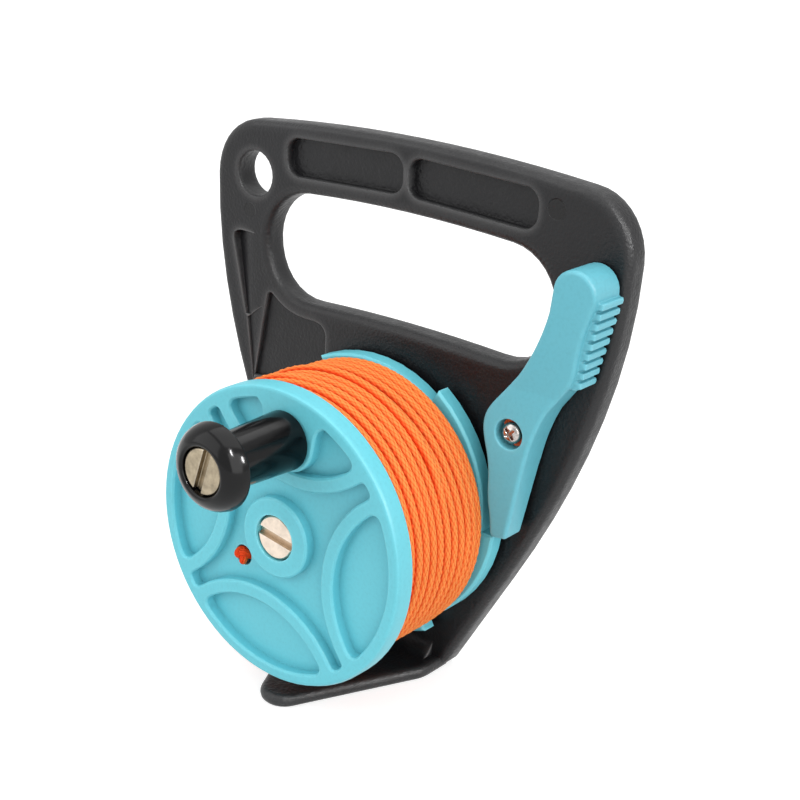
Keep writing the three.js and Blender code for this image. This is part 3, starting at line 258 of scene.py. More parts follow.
# Node materials
class Shader:
    """A Principled material whose extra nodes are added and linked by short calls."""

    def __init__(self, name, roughness, metallic=0.0):
        self.material = bpy.data.materials.new(name)
        self.material.use_nodes = True
        self.tree = self.material.node_tree
        self.bsdf = self.tree.nodes["Principled BSDF"]
        self.bsdf.inputs["Roughness"].default_value = roughness
        self.bsdf.inputs["Metallic"].default_value = metallic

    def add(self, kind, **values):
        node = self.tree.nodes.new(kind)
        for key, value in values.items():
            setattr(node, key, value)
        return node

    def link(self, source, target):
        self.tree.links.new(source, target)

    def feed(self, socket, value):
        if isinstance(value, (int, float, tuple)):
            socket.default_value = value
        else:
            self.link(value, socket)

    def math(self, operation, *values, clamp=False):
        node = self.add("ShaderNodeMath", operation=operation, use_clamp=clamp)
        for socket, value in zip(node.inputs, values):
            self.feed(socket, value)
        return node.outputs[0]

    def coords(self):
        return self.add("ShaderNodeTexCoord").outputs["Object"]

    def parts(self, vector):
        """The x, y and z of a vector."""
        node = self.add("ShaderNodeSeparateXYZ")
        self.link(vector, node.inputs[0])
        return node.outputs[0], node.outputs[1], node.outputs[2]

    def noise(self, scale, detail=3.0, stretch=None, rough=0.5):
        node = self.add("ShaderNodeTexNoise")
        node.inputs["Scale"].default_value = scale
        node.inputs["Detail"].default_value = detail
        node.inputs["Roughness"].default_value = rough
        vector = self.coords()
        if stretch:
            mapping = self.add("ShaderNodeMapping")
            mapping.inputs["Scale"].default_value = stretch
            self.link(vector, mapping.inputs["Vector"])
            vector = mapping.outputs[0]
        self.link(vector, node.inputs["Vector"])
        return node.outputs["Fac"]

    def ramp(self, factor, low, high, at=(0.3, 0.7)):
        node = self.add("ShaderNodeValToRGB")
        node.color_ramp.elements[0].position = at[0]
        node.color_ramp.elements[1].position = at[1]
        node.color_ramp.elements[0].color = low
        node.color_ramp.elements[1].color = high
        self.link(factor, node.inputs[0])
        return node.outputs[0]

    def spread(self, factor, low, high, start=0.0, end=1.0):
        """A factor mapped from start..end to low..high."""
        node = self.add("ShaderNodeMapRange")
        node.inputs["From Min"].default_value = start
        node.inputs["From Max"].default_value = end
        node.inputs["To Min"].default_value = low
        node.inputs["To Max"].default_value = high
        self.link(factor, node.inputs["Value"])
        return node.outputs[0]

    def mix(self, factor, a, b):
        node = self.add("ShaderNodeMix", data_type="RGBA")
        self.feed(node.inputs["Factor"], factor)
        colours = [socket for socket in node.inputs if socket.type == "RGBA"]
        self.feed(colours[0], a)
        self.feed(colours[1], b)
        return [socket for socket in node.outputs if socket.type == "RGBA"][0]

    def bump(self, height, distance, base=None):
        """The surface's normal with a relief; distance is its height in metres."""
        node = self.add("ShaderNodeBump")
        node.inputs["Distance"].default_value = distance
        node.inputs["Strength"].default_value = 1.0
        self.link(height, node.inputs["Height"])
        if base is not None:
            self.link(base, node.inputs["Normal"])
        return node.outputs[0]

    def openness(self, reach):
        """1 on flat faces and outer edges, less in corners and grooves."""
        node = self.add("ShaderNodeAmbientOcclusion", samples=4, only_local=True)
        node.inputs["Distance"].default_value = reach
        return node.outputs["AO"]

    def ridge(self, reach):
        """Grows from 0 on flat faces to 1 on outer edges, sharp or rounded."""
        node = self.add("ShaderNodeAmbientOcclusion", samples=6, only_local=True, inside=True)
        node.inputs["Distance"].default_value = reach
        return self.spread(node.outputs["AO"], 1.0, 0.0, 0.45, 0.95)

    def edge(self, radius, amount):
        """Grows from 0 on flat faces to at most 1 on outer edges, the faster the higher amount is."""
        bevel = self.add("ShaderNodeBevel", samples=4)
        bevel.inputs["Radius"].default_value = radius
        geometry = self.add("ShaderNodeNewGeometry")
        dot = self.add("ShaderNodeVectorMath", operation="DOT_PRODUCT")
        self.link(bevel.outputs[0], dot.inputs[0])
        self.link(geometry.outputs["True Normal"], dot.inputs[1])
        turned = self.math("MULTIPLY", self.math("SUBTRACT", 1.0, dot.outputs["Value"]), amount, clamp=True)
        return self.math("MULTIPLY", turned, self.spread(self.openness(2 * radius), 0.0, 1.0, 0.7, 0.95))

    def rounded(self, radius):
        """The normal of the surface with its outer edges rounded and its inner corners sharp."""
        bevel = self.add("ShaderNodeBevel", samples=6)
        bevel.inputs["Radius"].default_value = radius
        sharp = self.add("ShaderNodeNewGeometry")
        node = self.add("ShaderNodeMix", data_type="VECTOR")
        vectors = [socket for socket in node.inputs if socket.type == "VECTOR" and socket.enabled]
        self.link(self.spread(self.openness(1.5 * radius), 0.0, 1.0, 0.6, 0.95), node.inputs[0])
        self.link(sharp.outputs["Normal"], vectors[-2])
        self.link(bevel.outputs[0], vectors[-1])
        turned = self.add("ShaderNodeVectorMath", operation="NORMALIZE")
        self.link([socket for socket in node.outputs if socket.type == "VECTOR"][0], turned.inputs[0])
        return turned.outputs[0]


def edge_highlights(s, reach, ridge, edge_light):
    """Painted highlight on edges: within reach, or with ridge also in a soft band of that width."""
    if not ridge:
        return s.edge(reach * MM, edge_light)
    crisp = s.math("MULTIPLY", s.ridge(reach * MM), 2.4 * edge_light, clamp=True)
    return s.math("MAXIMUM", crisp, s.math("MULTIPLY", s.ridge(ridge * MM), edge_light))


def pin_mark(s, x, z, radius):
    """1 within a round mark on the plate's front, else 0."""
    across, behind, up = s.parts(s.coords())
    dx = s.math("SUBTRACT", across, x * MM)
    dz = s.math("SUBTRACT", up, z * MM)
    away = s.math("SQRT", s.math("ADD", s.math("MULTIPLY", dx, dx), s.math("MULTIPLY", dz, dz)))
    front = s.math("LESS_THAN", behind, PIN_BEHIND * MM)
    return s.math("MULTIPLY", s.spread(away, 1.0, 0.0, (radius - PIN_SOFT) * MM, radius * MM), front)


def plastic(name, colour, roughness, grain, depth, variation=0.05, edge_light=1.0, specular=0.5, corner=0.0,
            reach=0.7, ridge=0.0, tint=0.02, uneven=0.05, marks=()):
    """Moulded plastic: flow marks, fine grain, painted edge highlights and corner shade, pin marks.

    grain is the scale of the fine texture and depth its height. Edges look rounded to corner. They
    get a painted highlight of a given strength, in bands of reach and ridge. uneven is how far
    roughness varies.
    """
    s = Shader(name, roughness)
    s.bsdf.inputs["Specular IOR Level"].default_value = specular
    base = linear(colour)
    body = s.ramp(s.noise(26, 4), scaled(base, 1 - variation), scaled(base, 1 + variation))
    specks = s.spread(s.noise(grain, 2), 0.0, 0.35, 0.45, 0.75)
    body = s.mix(specks, body, scaled(base, 0.82))
    # Painted highlight: edges paler than the faces.
    body = s.mix(edge_highlights(s, reach, ridge, edge_light), body, scaled(base, 1.25, tint))
    # Painted shade: inner corners and grooves darker.
    body = s.mix(s.spread(s.openness(3 * MM), 0.5, 0.0, 0.4, 0.9), body, scaled(base, 0.6))
    relief = s.bump(s.noise(grain, 2), depth * MM, base=s.rounded(corner * MM) if corner else None)
    relief = s.bump(s.noise(95, 2), 0.05 * MM, base=relief)
    for x, z, radius, darkness in marks:
        inside = pin_mark(s, x, z, radius)
        body = s.mix(s.math("MULTIPLY", inside, darkness), body, scaled(base, 0.35))
        relief = s.bump(inside, -PIN_SINK * MM, base=relief)
    cloudy = s.math("ADD", s.noise(150, 3), s.noise(grain * 0.7, 2))
    s.link(body, s.bsdf.inputs["Base Color"])
    s.link(s.spread(cloudy, roughness - uneven, roughness + uneven, 0.6, 1.4), s.bsdf.inputs["Roughness"])
    s.link(relief, s.bsdf.inputs["Normal"])
    return s.material


def turned_metal(name, colour, roughness=0.26, tarnish=0.75, slot=None, slot_shade=0.8, shade_share=SLOT_SHADE_SHARE):
    """Turned metal: cloudy tarnish, fine tool marks, painted edge highlights, painted shade in a slot.

    slot is the place along Y of the face that is slotted; painted shade darkens what lies behind it.
    """
    s = Shader(name, roughness, 1.0)
    base = linear(colour)
    cloud = s.ramp(s.noise(380, 5, rough=0.65), scaled(base, tarnish), base, (0.34, 0.62))
    if slot is not None:
        behind = s.parts(s.coords())[1]
        # Painted shade, the darker the deeper in the slot.
        painted_shade = s.spread(behind, 0.0, slot_shade, (slot + 0.25) * MM, (slot + 1.3) * MM)
        cloud = s.mix(painted_shade, cloud, tuple(c * g for c, g in zip(base, shade_share)) + (1.0,))
    scratch = s.bump(s.noise(500, 4, stretch=(1, 1, 9)), 0.02 * MM)
    # Painted highlight on the edges.
    s.link(s.mix(s.edge(0.35 * MM, 1.6), cloud, METAL_EDGE_HIGHLIGHT), s.bsdf.inputs["Base Color"])
    s.link(s.spread(s.noise(800, 4), roughness - 0.07, roughness + 0.15), s.bsdf.inputs["Roughness"])
    s.link(s.bump(s.noise(1400, 3), 0.02 * MM, base=scratch), s.bsdf.inputs["Normal"])
    return s.material


def braid(name, colour, painted_shade):
    """Braided cord: two sets of ribbons pass over and under each other round the cord.

    The attribute braid gives the place along the cord, in crossings, and round it, in turns from
    the side that faces outward. Painted shade gives the cord a deeper colour between the ribbons
    and on the sides that don't face outward.
    """
    s = Shader(name, 0.72)
    s.bsdf.inputs["Specular IOR Level"].default_value = 0.15
    place = s.add("ShaderNodeAttribute", attribute_name="braid").outputs["Vector"]
    along, turn, _ = s.parts(place)
    round_it = s.math("MULTIPLY", turn, float(BRAID_ENDS))
    ways = [s.math("ADD", round_it, along), s.math("SUBTRACT", round_it, along)]
    arch = [s.math("SINE", s.math("MULTIPLY", s.math("FRACT", way), math.pi)) for way in ways]
    count = s.math("ADD", s.math("FLOOR", ways[0]), s.math("FLOOR", ways[1]))
    over = s.math("FLOORED_MODULO", count, 2.0)
    across = s.add("ShaderNodeMix", data_type="FLOAT")
    length = s.add("ShaderNodeMix", data_type="FLOAT")
    for node, (first, second) in ((across, arch), (length, arch[::-1])):
        s.link(over, node.inputs[0])
        s.link(first, node.inputs[2])
        s.link(second, node.inputs[3])
    ribbon = s.math("POWER", across.outputs[0], 0.55)
    height = s.math("MULTIPLY", ribbon, s.math("MULTIPLY_ADD", length.outputs[0], 0.6, 0.4))
    yarn = s.noise(2600, 2)
    outward = s.math("COSINE", s.math("MULTIPLY", turn, 2 * math.pi))
    base, under = linear(colour), linear(painted_shade)
    body = s.ramp(s.noise(60, 3), scaled(base, 0.92), base)
    # Painted shade: darker between the ribbons, then on the sides that don't face outward.
    body = s.mix(s.spread(height, 0.9, 0.0, 0.05, 0.6), body, under)
    body = s.mix(s.spread(outward, 1.0, 0.0, 0.3, 0.93), body, scaled(under, 0.9))
    body = s.mix(s.spread(yarn, 0.0, 0.25, 0.5, 0.8), body, scaled(base, 0.75))
    s.link(body, s.bsdf.inputs["Base Color"])
    s.link(s.spread(height, 0.85, 0.62), s.bsdf.inputs["Roughness"])
    s.link(s.bump(height, 0.35 * MM, base=s.bump(yarn, 0.04 * MM)), s.bsdf.inputs["Normal"])
    return s.material


# Pieces made from the model's own solids
def piece(name, mesh, material, body, slot, *nodes):
    """An object with a mesh and a material that rides on a body and stands for nodes."""
    obj = bpy.data.objects.new(name, mesh)
    bpy.context.scene.collection.objects.link(obj)
    mesh.materials.clear()
    mesh.materials.append(material)
    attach(obj, body)
    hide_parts(*nodes)
    return obj


def add_box(bm, low, high):
    corners = [bm.verts.new((x * MM, y * MM, z * MM))
               for x in (low[0], high[0]) for y in (low[1], high[1]) for z in (low[2], high[2])]
    for face in ((0, 1, 3, 2), (4, 6, 7, 5), (0, 4, 5, 1), (2, 3, 7, 6), (0, 2, 6, 4), (1, 5, 7, 3)):
        bm.faces.new([corners[n] for n in face])


def break_edges(obj, width):
    """Narrow bevels of a width on sharp edges, none if it is 0, and smooth shading between them."""
    if width:
        bevel = obj.modifiers.new("edges", "BEVEL")
        bevel.width = width * MM
        bevel.segments = 2
        bevel.limit_method = "ANGLE"
        bevel.angle_limit = math.radians(BEVEL_ANGLE)
        bevel.miter_outer = "MITER_ARC"
    normals = obj.modifiers.new("normals", "WEIGHTED_NORMAL")
    normals.mode = "FACE_AREA"
    normals.keep_sharp = True


def wear_round(obj, size):
    """Joins what overlaps on an even grid of a size and wears edges round by about twice that."""
    grid = obj.modifiers.new("even", "REMESH")
    grid.mode = "VOXEL"
    grid.voxel_size = size * MM
    grid.use_smooth_shade = True
    worn = obj.modifiers.new("worn", "SMOOTH")
    worn.factor = 0.5
    worn.iterations = WEAR_ROUNDS


def refined(node, material, slot, bevel=0.0, worn=0.0, shape=None, bars=()):
    """The node's own solid with smooth curved faces and broken or worn edges, standing for it.

    shape moves single corners first, and bars are boxes that are added.
    """
    mesh = frame["nodes"][node].data.copy()
    bm = bmesh.new()
    bm.from_mesh(mesh)
    bmesh.ops.remove_doubles(bm, verts=bm.verts, dist=DOUBLED * MM)
    if shape:
        for vert in bm.verts:
            vert.co = Vector(shape(*(vert.co / MM))) * MM
    for low, high in bars:
        add_box(bm, low, high)
    bmesh.ops.dissolve_limit(
        bm, angle_limit=math.radians(FLAT_ANGLE), use_dissolve_boundaries=False,
        verts=bm.verts, edges=bm.edges)
    for face in bm.faces:
        face.smooth = True
    bm.to_mesh(mesh)
    bm.free()
    obj = piece(node + "_look", mesh, material, BODY_OF[node], slot, node)
    if worn:
        wear_round(obj, worn)
    else:
        break_edges(obj, bevel)


def wide_slot(at, front, turn):
    """A shape that moves the two walls of a screw's slot apart."""
    ahead = (math.cos(math.radians(turn)), math.sin(math.radians(turn)))

    def moved(x, y, z):
        dx, dz = x - at[0], z - at[1]
        along, across = dx * ahead[0] + dz * ahead[1], dz * ahead[0] - dx * ahead[1]
        if y > front + SLOT_DEPTH or abs(abs(across) - SLOT_HALF) > SLOT_NEAR:
            return x, y, z
        far = math.hypot(along, across)
        across *= SLOT_WIDER
        if far > HEAD_RIM:
            along = math.copysign(math.sqrt(far * far - across * across), along)
        return at[0] + along * ahead[0] - across * ahead[1], y, at[1] + along * ahead[1] + across * ahead[0]

    return moved


def screw_head(x, y, z):
    """The lever's screw has a wider and higher pan head than its plain solid."""
    dx, dz = x - PIVOT[0], z - PIVOT[1]
    at_seat = y < HEAD_SEAT + SEAT_NEAR and math.hypot(dx, dz) > SHANK_R
    if y >= HEAD_SEAT - SEAT_NEAR and not at_seat:
        return x, y, z
    return PIVOT[0] + dx * HEAD_WIDER, HEAD_SEAT + (y - HEAD_SEAT) * HEAD_HIGHER, PIVOT[1] + dz * HEAD_WIDER


def two_ears(x, y, z):
    """The bush's collar is cut away on two sides, so that only its ears show beside the head."""
    dx, dz = x - PIVOT[0], z - PIVOT[1]
    far = math.hypot(dx, dz)
    along = dx * EARS[0] + dz * EARS[1]
    across = dz * EARS[0] - dx * EARS[1]
    aside = abs(across) / EAR_HALF - EAR_FLAT
    if far > COLLAR_R:
        across = max(-EAR_HALF, min(EAR_HALF, across))
    elif far > COLLAR_BORE and y < HEAD_SEAT + COLLAR_T and aside > 0:
        y += COLLAR_DIP * min(1, aside)
    return PIVOT[0] + along * EARS[0] - across * EARS[1], y, PIVOT[1] + along * EARS[1] + across * EARS[0]


def thumb_bars():
    """The full bars of the lever's thumb grip, over the ridges of its plain solid."""
    bars = []
    for n in range(BARS):
        up = BAR_TOP - BAR_PITCH * n
        foot = PIVOT[0] + BAR_FOOT + (up - BAR_TOP) * BAR_LEAN
        front = ARM_FRONT - ARM_LEAN * (up - ARM_FROM) + BAR_SUNK
        low = (foot - BAR_IN, front, PIVOT[1] + up - BAR_BELOW)
        high = (foot + BAR_OUT, LEVER_BACK - BAR_SHORT, PIVOT[1] + up + BAR_ABOVE)
        bars.append((low, high))
    return bars


# The braided line
def tube_mesh(name, tube, lump=0.0, row=0.0):
    """A closed tube round given centres; each corner keeps its place in the braid.

    tube holds one value a ring: its centre, two directions, and its half sizes along them. With
    row, the surface is also laid out in rows of that length, one above the other.
    """
    centres, outward, sideways, high, wide = tube
    last = len(centres) - 1
    side = np.arange(SIDES)
    turn = side * 2 * math.pi / SIDES
    step = np.linalg.norm(np.diff(centres, axis=0), axis=1)
    along = np.concatenate([[0], np.cumsum(step)]) / BRAID_PIC
    crossing = 0.5 - 0.5 * np.cos(2 * math.pi * along[:, None] + math.pi * (side % 2)[None, :])
    out = lump * (crossing - 0.5)
    ring = centres[:, None, :]
    ring = ring + (np.cos(turn)[None, :] * (high[:, None] + out))[..., None] * outward[:, None, :]
    ring = ring + (np.sin(turn)[None, :] * (wide[:, None] + out))[..., None] * sideways[:, None, :]
    verts = (ring.reshape(-1, 3) * MM).tolist()

    i, k = np.meshgrid(np.arange(last), side, indexing="ij")
    i, k = i.ravel(), k.ravel()
    beyond, after = (i + 1) * SIDES, (k + 1) % SIDES
    faces = np.stack([i * SIDES + k, i * SIDES + after, beyond + after, beyond + k], 1).tolist()
    here = np.stack([along[i], along[i], along[i + 1], along[i + 1]], 1)
    round_it = np.stack([k / SIDES, (k + 1) / SIDES, (k + 1) / SIDES, k / SIDES], 1)
    ring_start = np.repeat(along[i], 4).reshape(-1, 4)
    places = np.stack([here, round_it, ring_start], 2).reshape(-1, 3).tolist()
    for end, inner, past in ((0, 1, -TIP_CROSSINGS), (last, last - 1, TIP_CROSSINGS)):
        away = centres[end] - centres[inner]
        tip = centres[end] + away / np.linalg.norm(away) * high[end] * TIP_HIGH
        verts.append(tuple(tip * MM))
        for n in range(SIDES):
            pair = [(end * SIDES + n, n / SIDES), (end * SIDES + (n + 1) % SIDES, (n + 1) / SIDES)]
            if end == 0:
                pair.reverse()
            faces.append((pair[0][0], pair[1][0], len(verts) - 1))
            places.extend((along[end], share, along[inner]) for _, share in pair)
            places.append((along[end] + past, (n / SIDES + (n + 1) / SIDES) / 2, along[inner]))

    mesh = bpy.data.meshes.new(name)
    mesh.from_pydata(verts, [], faces)
    place = np.array(places)
    held = mesh.attributes.new("braid", "FLOAT_VECTOR", "CORNER")
    held.data.foreach_set("vector", (place * (1, 1, 0)).astype(np.float32).ravel())
    if row:
        lay_out(mesh, place, row)
    mesh.polygons.foreach_set("use_smooth", [True] * len(mesh.polygons))
    mesh.update()
    return mesh


def lay_out(mesh, place, row):
    """Lays a tube's surface out in rows, from each corner's place along, round and its ring's start."""
    line = np.floor(place[:, 2] * BRAID_PIC / row)
    rows = line.max() + 1
    flat = np.stack([
        0.01 + 0.97 * (place[:, 0] * BRAID_PIC / row - line),
        (line + 0.04 + 0.92 * place[:, 1]) / rows], 1)
    layer = mesh.uv_layers.new(name="OFBake")
    layer.uv.foreach_set("vector", flat.clip(0, 1).astype(np.float32).ravel())


def fanned(turns, across):
    """How the turns fan out and crowd together: a smooth shift along the axis."""
    angle = 2 * math.pi * turns
    depth = np.sin(math.pi * across)
    lean = 0.8 * np.sin(angle + 0.7) + 0.5 * np.sin(2 * angle + 2.1 + 2.5 * across)
    return depth * (lean + 0.3 * np.sin(3 * angle + 6 * across))


def smoothed(values):
    kernel = np.hanning(2 * SMOOTH_REACH + 3)
    padded = np.pad(values, SMOOTH_REACH + 1, mode="edge")
    return np.convolve(padded, kernel / kernel.sum(), mode="valid")


def wound(turns, first, last, radius, start, seed, crossings=()):
    """A layer from one flange to the other, each turn beside or on the last.

    Gives each point's place in turns, its y and radius, and half the room that the cord has.
    """
    rng = random.Random(seed)
    count = int(turns * STEPS) + 1
    at = np.arange(count) / STEPS
    share = at / turns
    y = first + (last - first) * share + fanned(at + start / 360, share)
    ease = np.minimum(1, END_EASE * np.minimum(share, 1 - share))
    for _ in range(STRAY_WAVES):
        rate, phase = rng.uniform(*STRAY_RATES), rng.uniform(0, 2 * math.pi)
        y += STRAY * ease * np.sin(2 * math.pi * rate * at + phase)
    for place, width, shift in crossings:
        rise = np.clip((at - place) / width, 0, 1)
        fall = np.clip((at - place - CROSSING_LENGTH) / width, 0, 1)
        y += shift * (rise * rise * (3 - 2 * rise) - fall * fall * (3 - 2 * fall))
    y = np.clip(y, LINE_FRONT + CORD_WIDE + WALL_GAP, LINE_BACK - CORD_WIDE - WALL_GAP)

    lift = np.zeros(count)
    room = np.full(count, CORD_WIDE * 2)
    near = CORD_WIDE * 2 - NESTLE_WIDE
    for i in range(STEPS, count):
        for j in range(i % STEPS, i, STEPS):
            gap = abs(y[i] - y[j])
            if gap < near:
                over = 2 * (CORD_HIGH - NESTLE_HIGH) * math.sqrt(1 - (gap / near) ** 2)
                lift[i] = max(lift[i], lift[j] + over)
            elif abs(lift[i] - lift[j]) < SAME_LEVEL:
                room[i] = min(room[i], gap)
                room[j] = min(room[j], gap)
    highest = [lift[max(0, i - SMOOTH_REACH):i + SMOOTH_REACH + 1].max() for i in range(count)]
    lift, room = smoothed(np.array(highest)), smoothed(room)
    drop = BARREL_FRONT * np.clip(1 - (y - LINE_FRONT) / BARREL_REACH, 0, 1) ** BARREL_BEND
    drop += BARREL_BACK * np.clip(1 - (LINE_BACK - y) / BARREL_REACH, 0, 1) ** BARREL_BEND
    fuller = LOPSIDED * (np.sin(np.radians(start) + 2 * math.pi * at) - LOPSIDED_LESS)
    centre = np.minimum(radius + lift - drop + fuller, HIGHEST_CENTRE)
    return at, y, centre, np.minimum(room / 2 + WALL_GAP, CORD_WIDE)


def tucked(at, y, radius, wide):
    """Lets both ends of a layer dive between their neighbours into what lies below."""
    radius = radius.copy()
    for away in (at - at[0], at[-1] - at):
        radius -= TUCK_DEEP * np.clip(1 - away / TUCK_LENGTH, 0, 1) ** TUCK_BEND
    return at, y, radius, wide


def finer(at, *values):
    """The same run with as many points as the braid needs."""
    count = int((at[-1] - at[0]) * 2 * math.pi * TOP_LAYER_R / BRAID_PIC * BRAID_FINE) + 1
    fine = np.linspace(at[0], at[-1], count)
    return (fine, *(np.interp(fine, at, value) for value in values))


def unit(vectors):
    return vectors / np.linalg.norm(vectors, axis=1)[:, None]


def as_tube(at, y, radius, wide, start):
    """Rings of a tube along a layer; where there is less room the cord is narrower and higher."""
    angle = np.radians(start) + 2 * math.pi * at
    outward = np.stack([np.cos(angle), np.zeros_like(angle), np.sin(angle)], 1)
    centres = outward * radius[:, None] + np.array([0, 0, AXIS_Z])
    centres[:, 1] = y
    ahead = unit(np.gradient(centres, axis=0))
    return centres, outward, unit(np.cross(ahead, outward)), CORD_HIGH * np.sqrt(CORD_WIDE / wide), wide


def add_core(mesh, inner, outer):
    """The layers that no one sees: a plain ring under the wound ones, with a place in the braid."""
    front, back = LINE_FRONT + CLEAR, LINE_BACK - CLEAR
    low, high = front + CORE_CUT, back - CORE_CUT
    profile = [(inner, front), (outer - CORE_CUT, front), (outer, low),
               (outer, high), (outer - CORE_CUT, back), (inner, back)]
    bm = bmesh.new()
    bm.from_mesh(mesh)
    layer = bm.loops.layers.float_vector.get("braid")
    rings = []
    for i in range(CORE_SIDES):
        angle = 2 * math.pi * i / CORE_SIDES
        x, z = math.cos(angle), math.sin(angle)
        rings.append([bm.verts.new((r * x * MM, y * MM, (AXIS_Z + r * z) * MM)) for r, y in profile])
    for i, here in enumerate(rings):
        beyond = rings[(i + 1) % CORE_SIDES]
        near, far = i * CORE_CROSSINGS, (i + 1) * CORE_CROSSINGS
        for k in range(len(profile)):
            after = (k + 1) % len(profile)
            face = bm.faces.new((here[k], beyond[k], beyond[after], here[after]))
            face.smooth = False
            places = ((near, k, 0), (far, k, 0), (far, k + 1, 0), (near, k + 1, 0))
            for loop, place in zip(face.loops, places):
                loop[layer] = place
    bm.to_mesh(mesh)
    bm.free()


def line_pieces(material):
    under = wound(
        UNDER_TURNS, LINE_FRONT + UNDER_INSET, LINE_BACK - UNDER_INSET, UNDER_LAYER_R, UNDER_START, SEED)
    top = wound(
        TOP_TURNS, LINE_BACK - TOP_INSET, LINE_FRONT + TOP_INSET, TOP_LAYER_R, TOP_START, SEED + 1,
        TOP_CROSSINGS)
    core = tube_mesh("line_core_look", as_tube(*tucked(*under), UNDER_START))
    add_core(core, CORE_BORE, UNDER_LAYER_R - CORE_BELOW)
    piece("line_core_look", core, material, "spool", "line_fibre", "line_core")
    winding = tube_mesh(
        "line_winding_look", as_tube(*finer(*tucked(*top)), TOP_START), BRAID_LUMP, TOP_ROW)
    piece("line_winding_look", winding, material, "spool", "line_fibre", "line_outer_layer")


def knot_piece(material):
    """An overhand knot seen end on, with its tail cut short and its standing part led back."""
    t = np.linspace(KNOT_OPEN, 2 * math.pi - KNOT_OPEN, KNOT_POINTS)
    path = np.stack([
        np.sin(t) + 2 * np.sin(2 * t),
        KNOT_DEPTH * np.sin(3 * t),
        np.cos(t) - 2 * np.cos(2 * t)], 1) * KNOT_SIZE
    path += np.array(KNOT_AT)
    lead = np.array([KNOT_AT[0], LINE_FRONT + CLEAR, KNOT_AT[2]])
    way = np.linspace(0, 1, LEAD_POINTS)[1:, None]
    path = np.concatenate([path, path[-1] + (lead - path[-1]) * way])
    for _ in range(KNOT_ROUNDS):
        path[1:-1] = (path[:-2] + 2 * path[1:-1] + path[2:]) / 4
    ahead = unit(np.gradient(path, axis=0))
    outward = [np.cross(ahead[0], (0, 1, 0))]
    outward[0] /= np.linalg.norm(outward[0])
    for tangent in ahead[1:]:
        normal = outward[-1] - tangent * np.dot(outward[-1], tangent)
        outward.append(normal / np.linalg.norm(normal))
    thick = np.full(len(path), KNOT_CORD)
    tube = (path, np.array(outward), np.cross(ahead, outward), thick, thick)
    mesh = tube_mesh("line_end_knot_look", tube, KNOT_LUMP, KNOT_ROW)
    piece("line_end_knot_look", mesh, material, "spool", "line_fibre", "line_end_knot")


# Studio
def seen_directly(tree):
    """1 for rays from the camera and those that gloss or glass passes on, else 0."""
    path = tree.nodes.new("ShaderNodeLightPath")
    first = tree.nodes.new("ShaderNodeMath")
    second = tree.nodes.new("ShaderNodeMath")
    first.operation = second.operation = "MAXIMUM"
    tree.links.new(path.outputs["Is Camera Ray"], first.inputs[0])
    tree.links.new(path.outputs["Is Glossy Ray"], first.inputs[1])
    tree.links.new(first.outputs[0], second.inputs[0])
    tree.links.new(path.outputs["Is Transmission Ray"], second.inputs[1])
    return second.outputs[0]


def joined(tree, lighting, seen, output):
    """Gives an output one shader for the light that it throws and another for how it looks."""
    mix = tree.nodes.new("ShaderNodeMixShader")
    tree.links.new(seen_directly(tree), mix.inputs[0])
    tree.links.new(lighting.outputs[0], mix.inputs[1])
    tree.links.new(seen.outputs[0], mix.inputs[2])
    tree.links.new(mix.outputs[0], tree.nodes[output].inputs["Surface"])


def surroundings():
    world = bpy.data.worlds.new("studio")
    world.use_nodes = True
    tree = world.node_tree
    lighting = tree.nodes["Background"]
    seen = tree.nodes.new("ShaderNodeBackground")
    for node, strength in ((lighting, WORLD_LIGHT), (seen, 1.0)):
        node.inputs["Color"].default_value = (1, 1, 1, 1)
        node.inputs["Strength"].default_value = strength
    joined(tree, lighting, seen, "World Output")
    bpy.context.scene.world = world


def floor_material():
    """Plain grey for the light that it throws; white with soft shadows where it is seen."""
    material = bpy.data.materials.new("floor")
    material.use_nodes = True
    tree = material.node_tree
    lighting = tree.nodes["Principled BSDF"]
    lighting.inputs["Base Color"].default_value = (FLOOR_GREY, FLOOR_GREY, FLOOR_GREY, 1)
    lighting.inputs["Roughness"].default_value = 0.9
    lighting.inputs["Specular IOR Level"].default_value = 0.0
    shaded = tree.nodes.new("ShaderNodeBsdfDiffuse")
    shaded.inputs["Color"].default_value = (FLOOR_SHADE, FLOOR_SHADE, FLOOR_SHADE, 1)
    glow = tree.nodes.new("ShaderNodeEmission")
    glow.inputs["Strength"].default_value = FLOOR_GLOW
    seen = tree.nodes.new("ShaderNodeAddShader")
    tree.links.new(shaded.outputs[0], seen.inputs[0])
    tree.links.new(glow.outputs[0], seen.inputs[1])
    joined(tree, lighting, seen, "Material Output")
    return material


def floor():
    mesh = bpy.data.meshes.new("floor")
    corners = ((-1, -1), (1, -1), (1, 1), (-1, 1))
    mesh.from_pydata([(x * FLOOR_HALF, y * FLOOR_HALF, 0) for x, y in corners], [], [(0, 1, 2, 3)])
    obj = bpy.data.objects.new("floor", mesh)
    bpy.context.scene.collection.objects.link(obj)
    mesh.materials.append(floor_material())


def area_light(name, at, towards, size, power, gloss_only=False):
    data = bpy.data.lights.new(name, "AREA")
    data.shape = "RECTANGLE"
    data.size, data.size_y = size
    data.energy = power
    obj = bpy.data.objects.new(name, data)
    obj.location = at
    obj.rotation_euler = (Vector(towards) - Vector(at)).to_track_quat("-Z", "Y").to_euler()
    obj.visible_diffuse = not gloss_only
    bpy.context.scene.collection.objects.link(obj)


def lamps():
    """Three large soft lamps, and two narrow ones, aimed at the grip's cap, that only gloss shows."""
    for name, (at, size, power) in LARGE_LAMPS.items():
        area_light(name, at, MIDDLE, size, power)
    for name, at in STRIPS.items():
        area_light(name, at, CAP, STRIP_SIZE, STRIP_POWER, gloss_only=True)


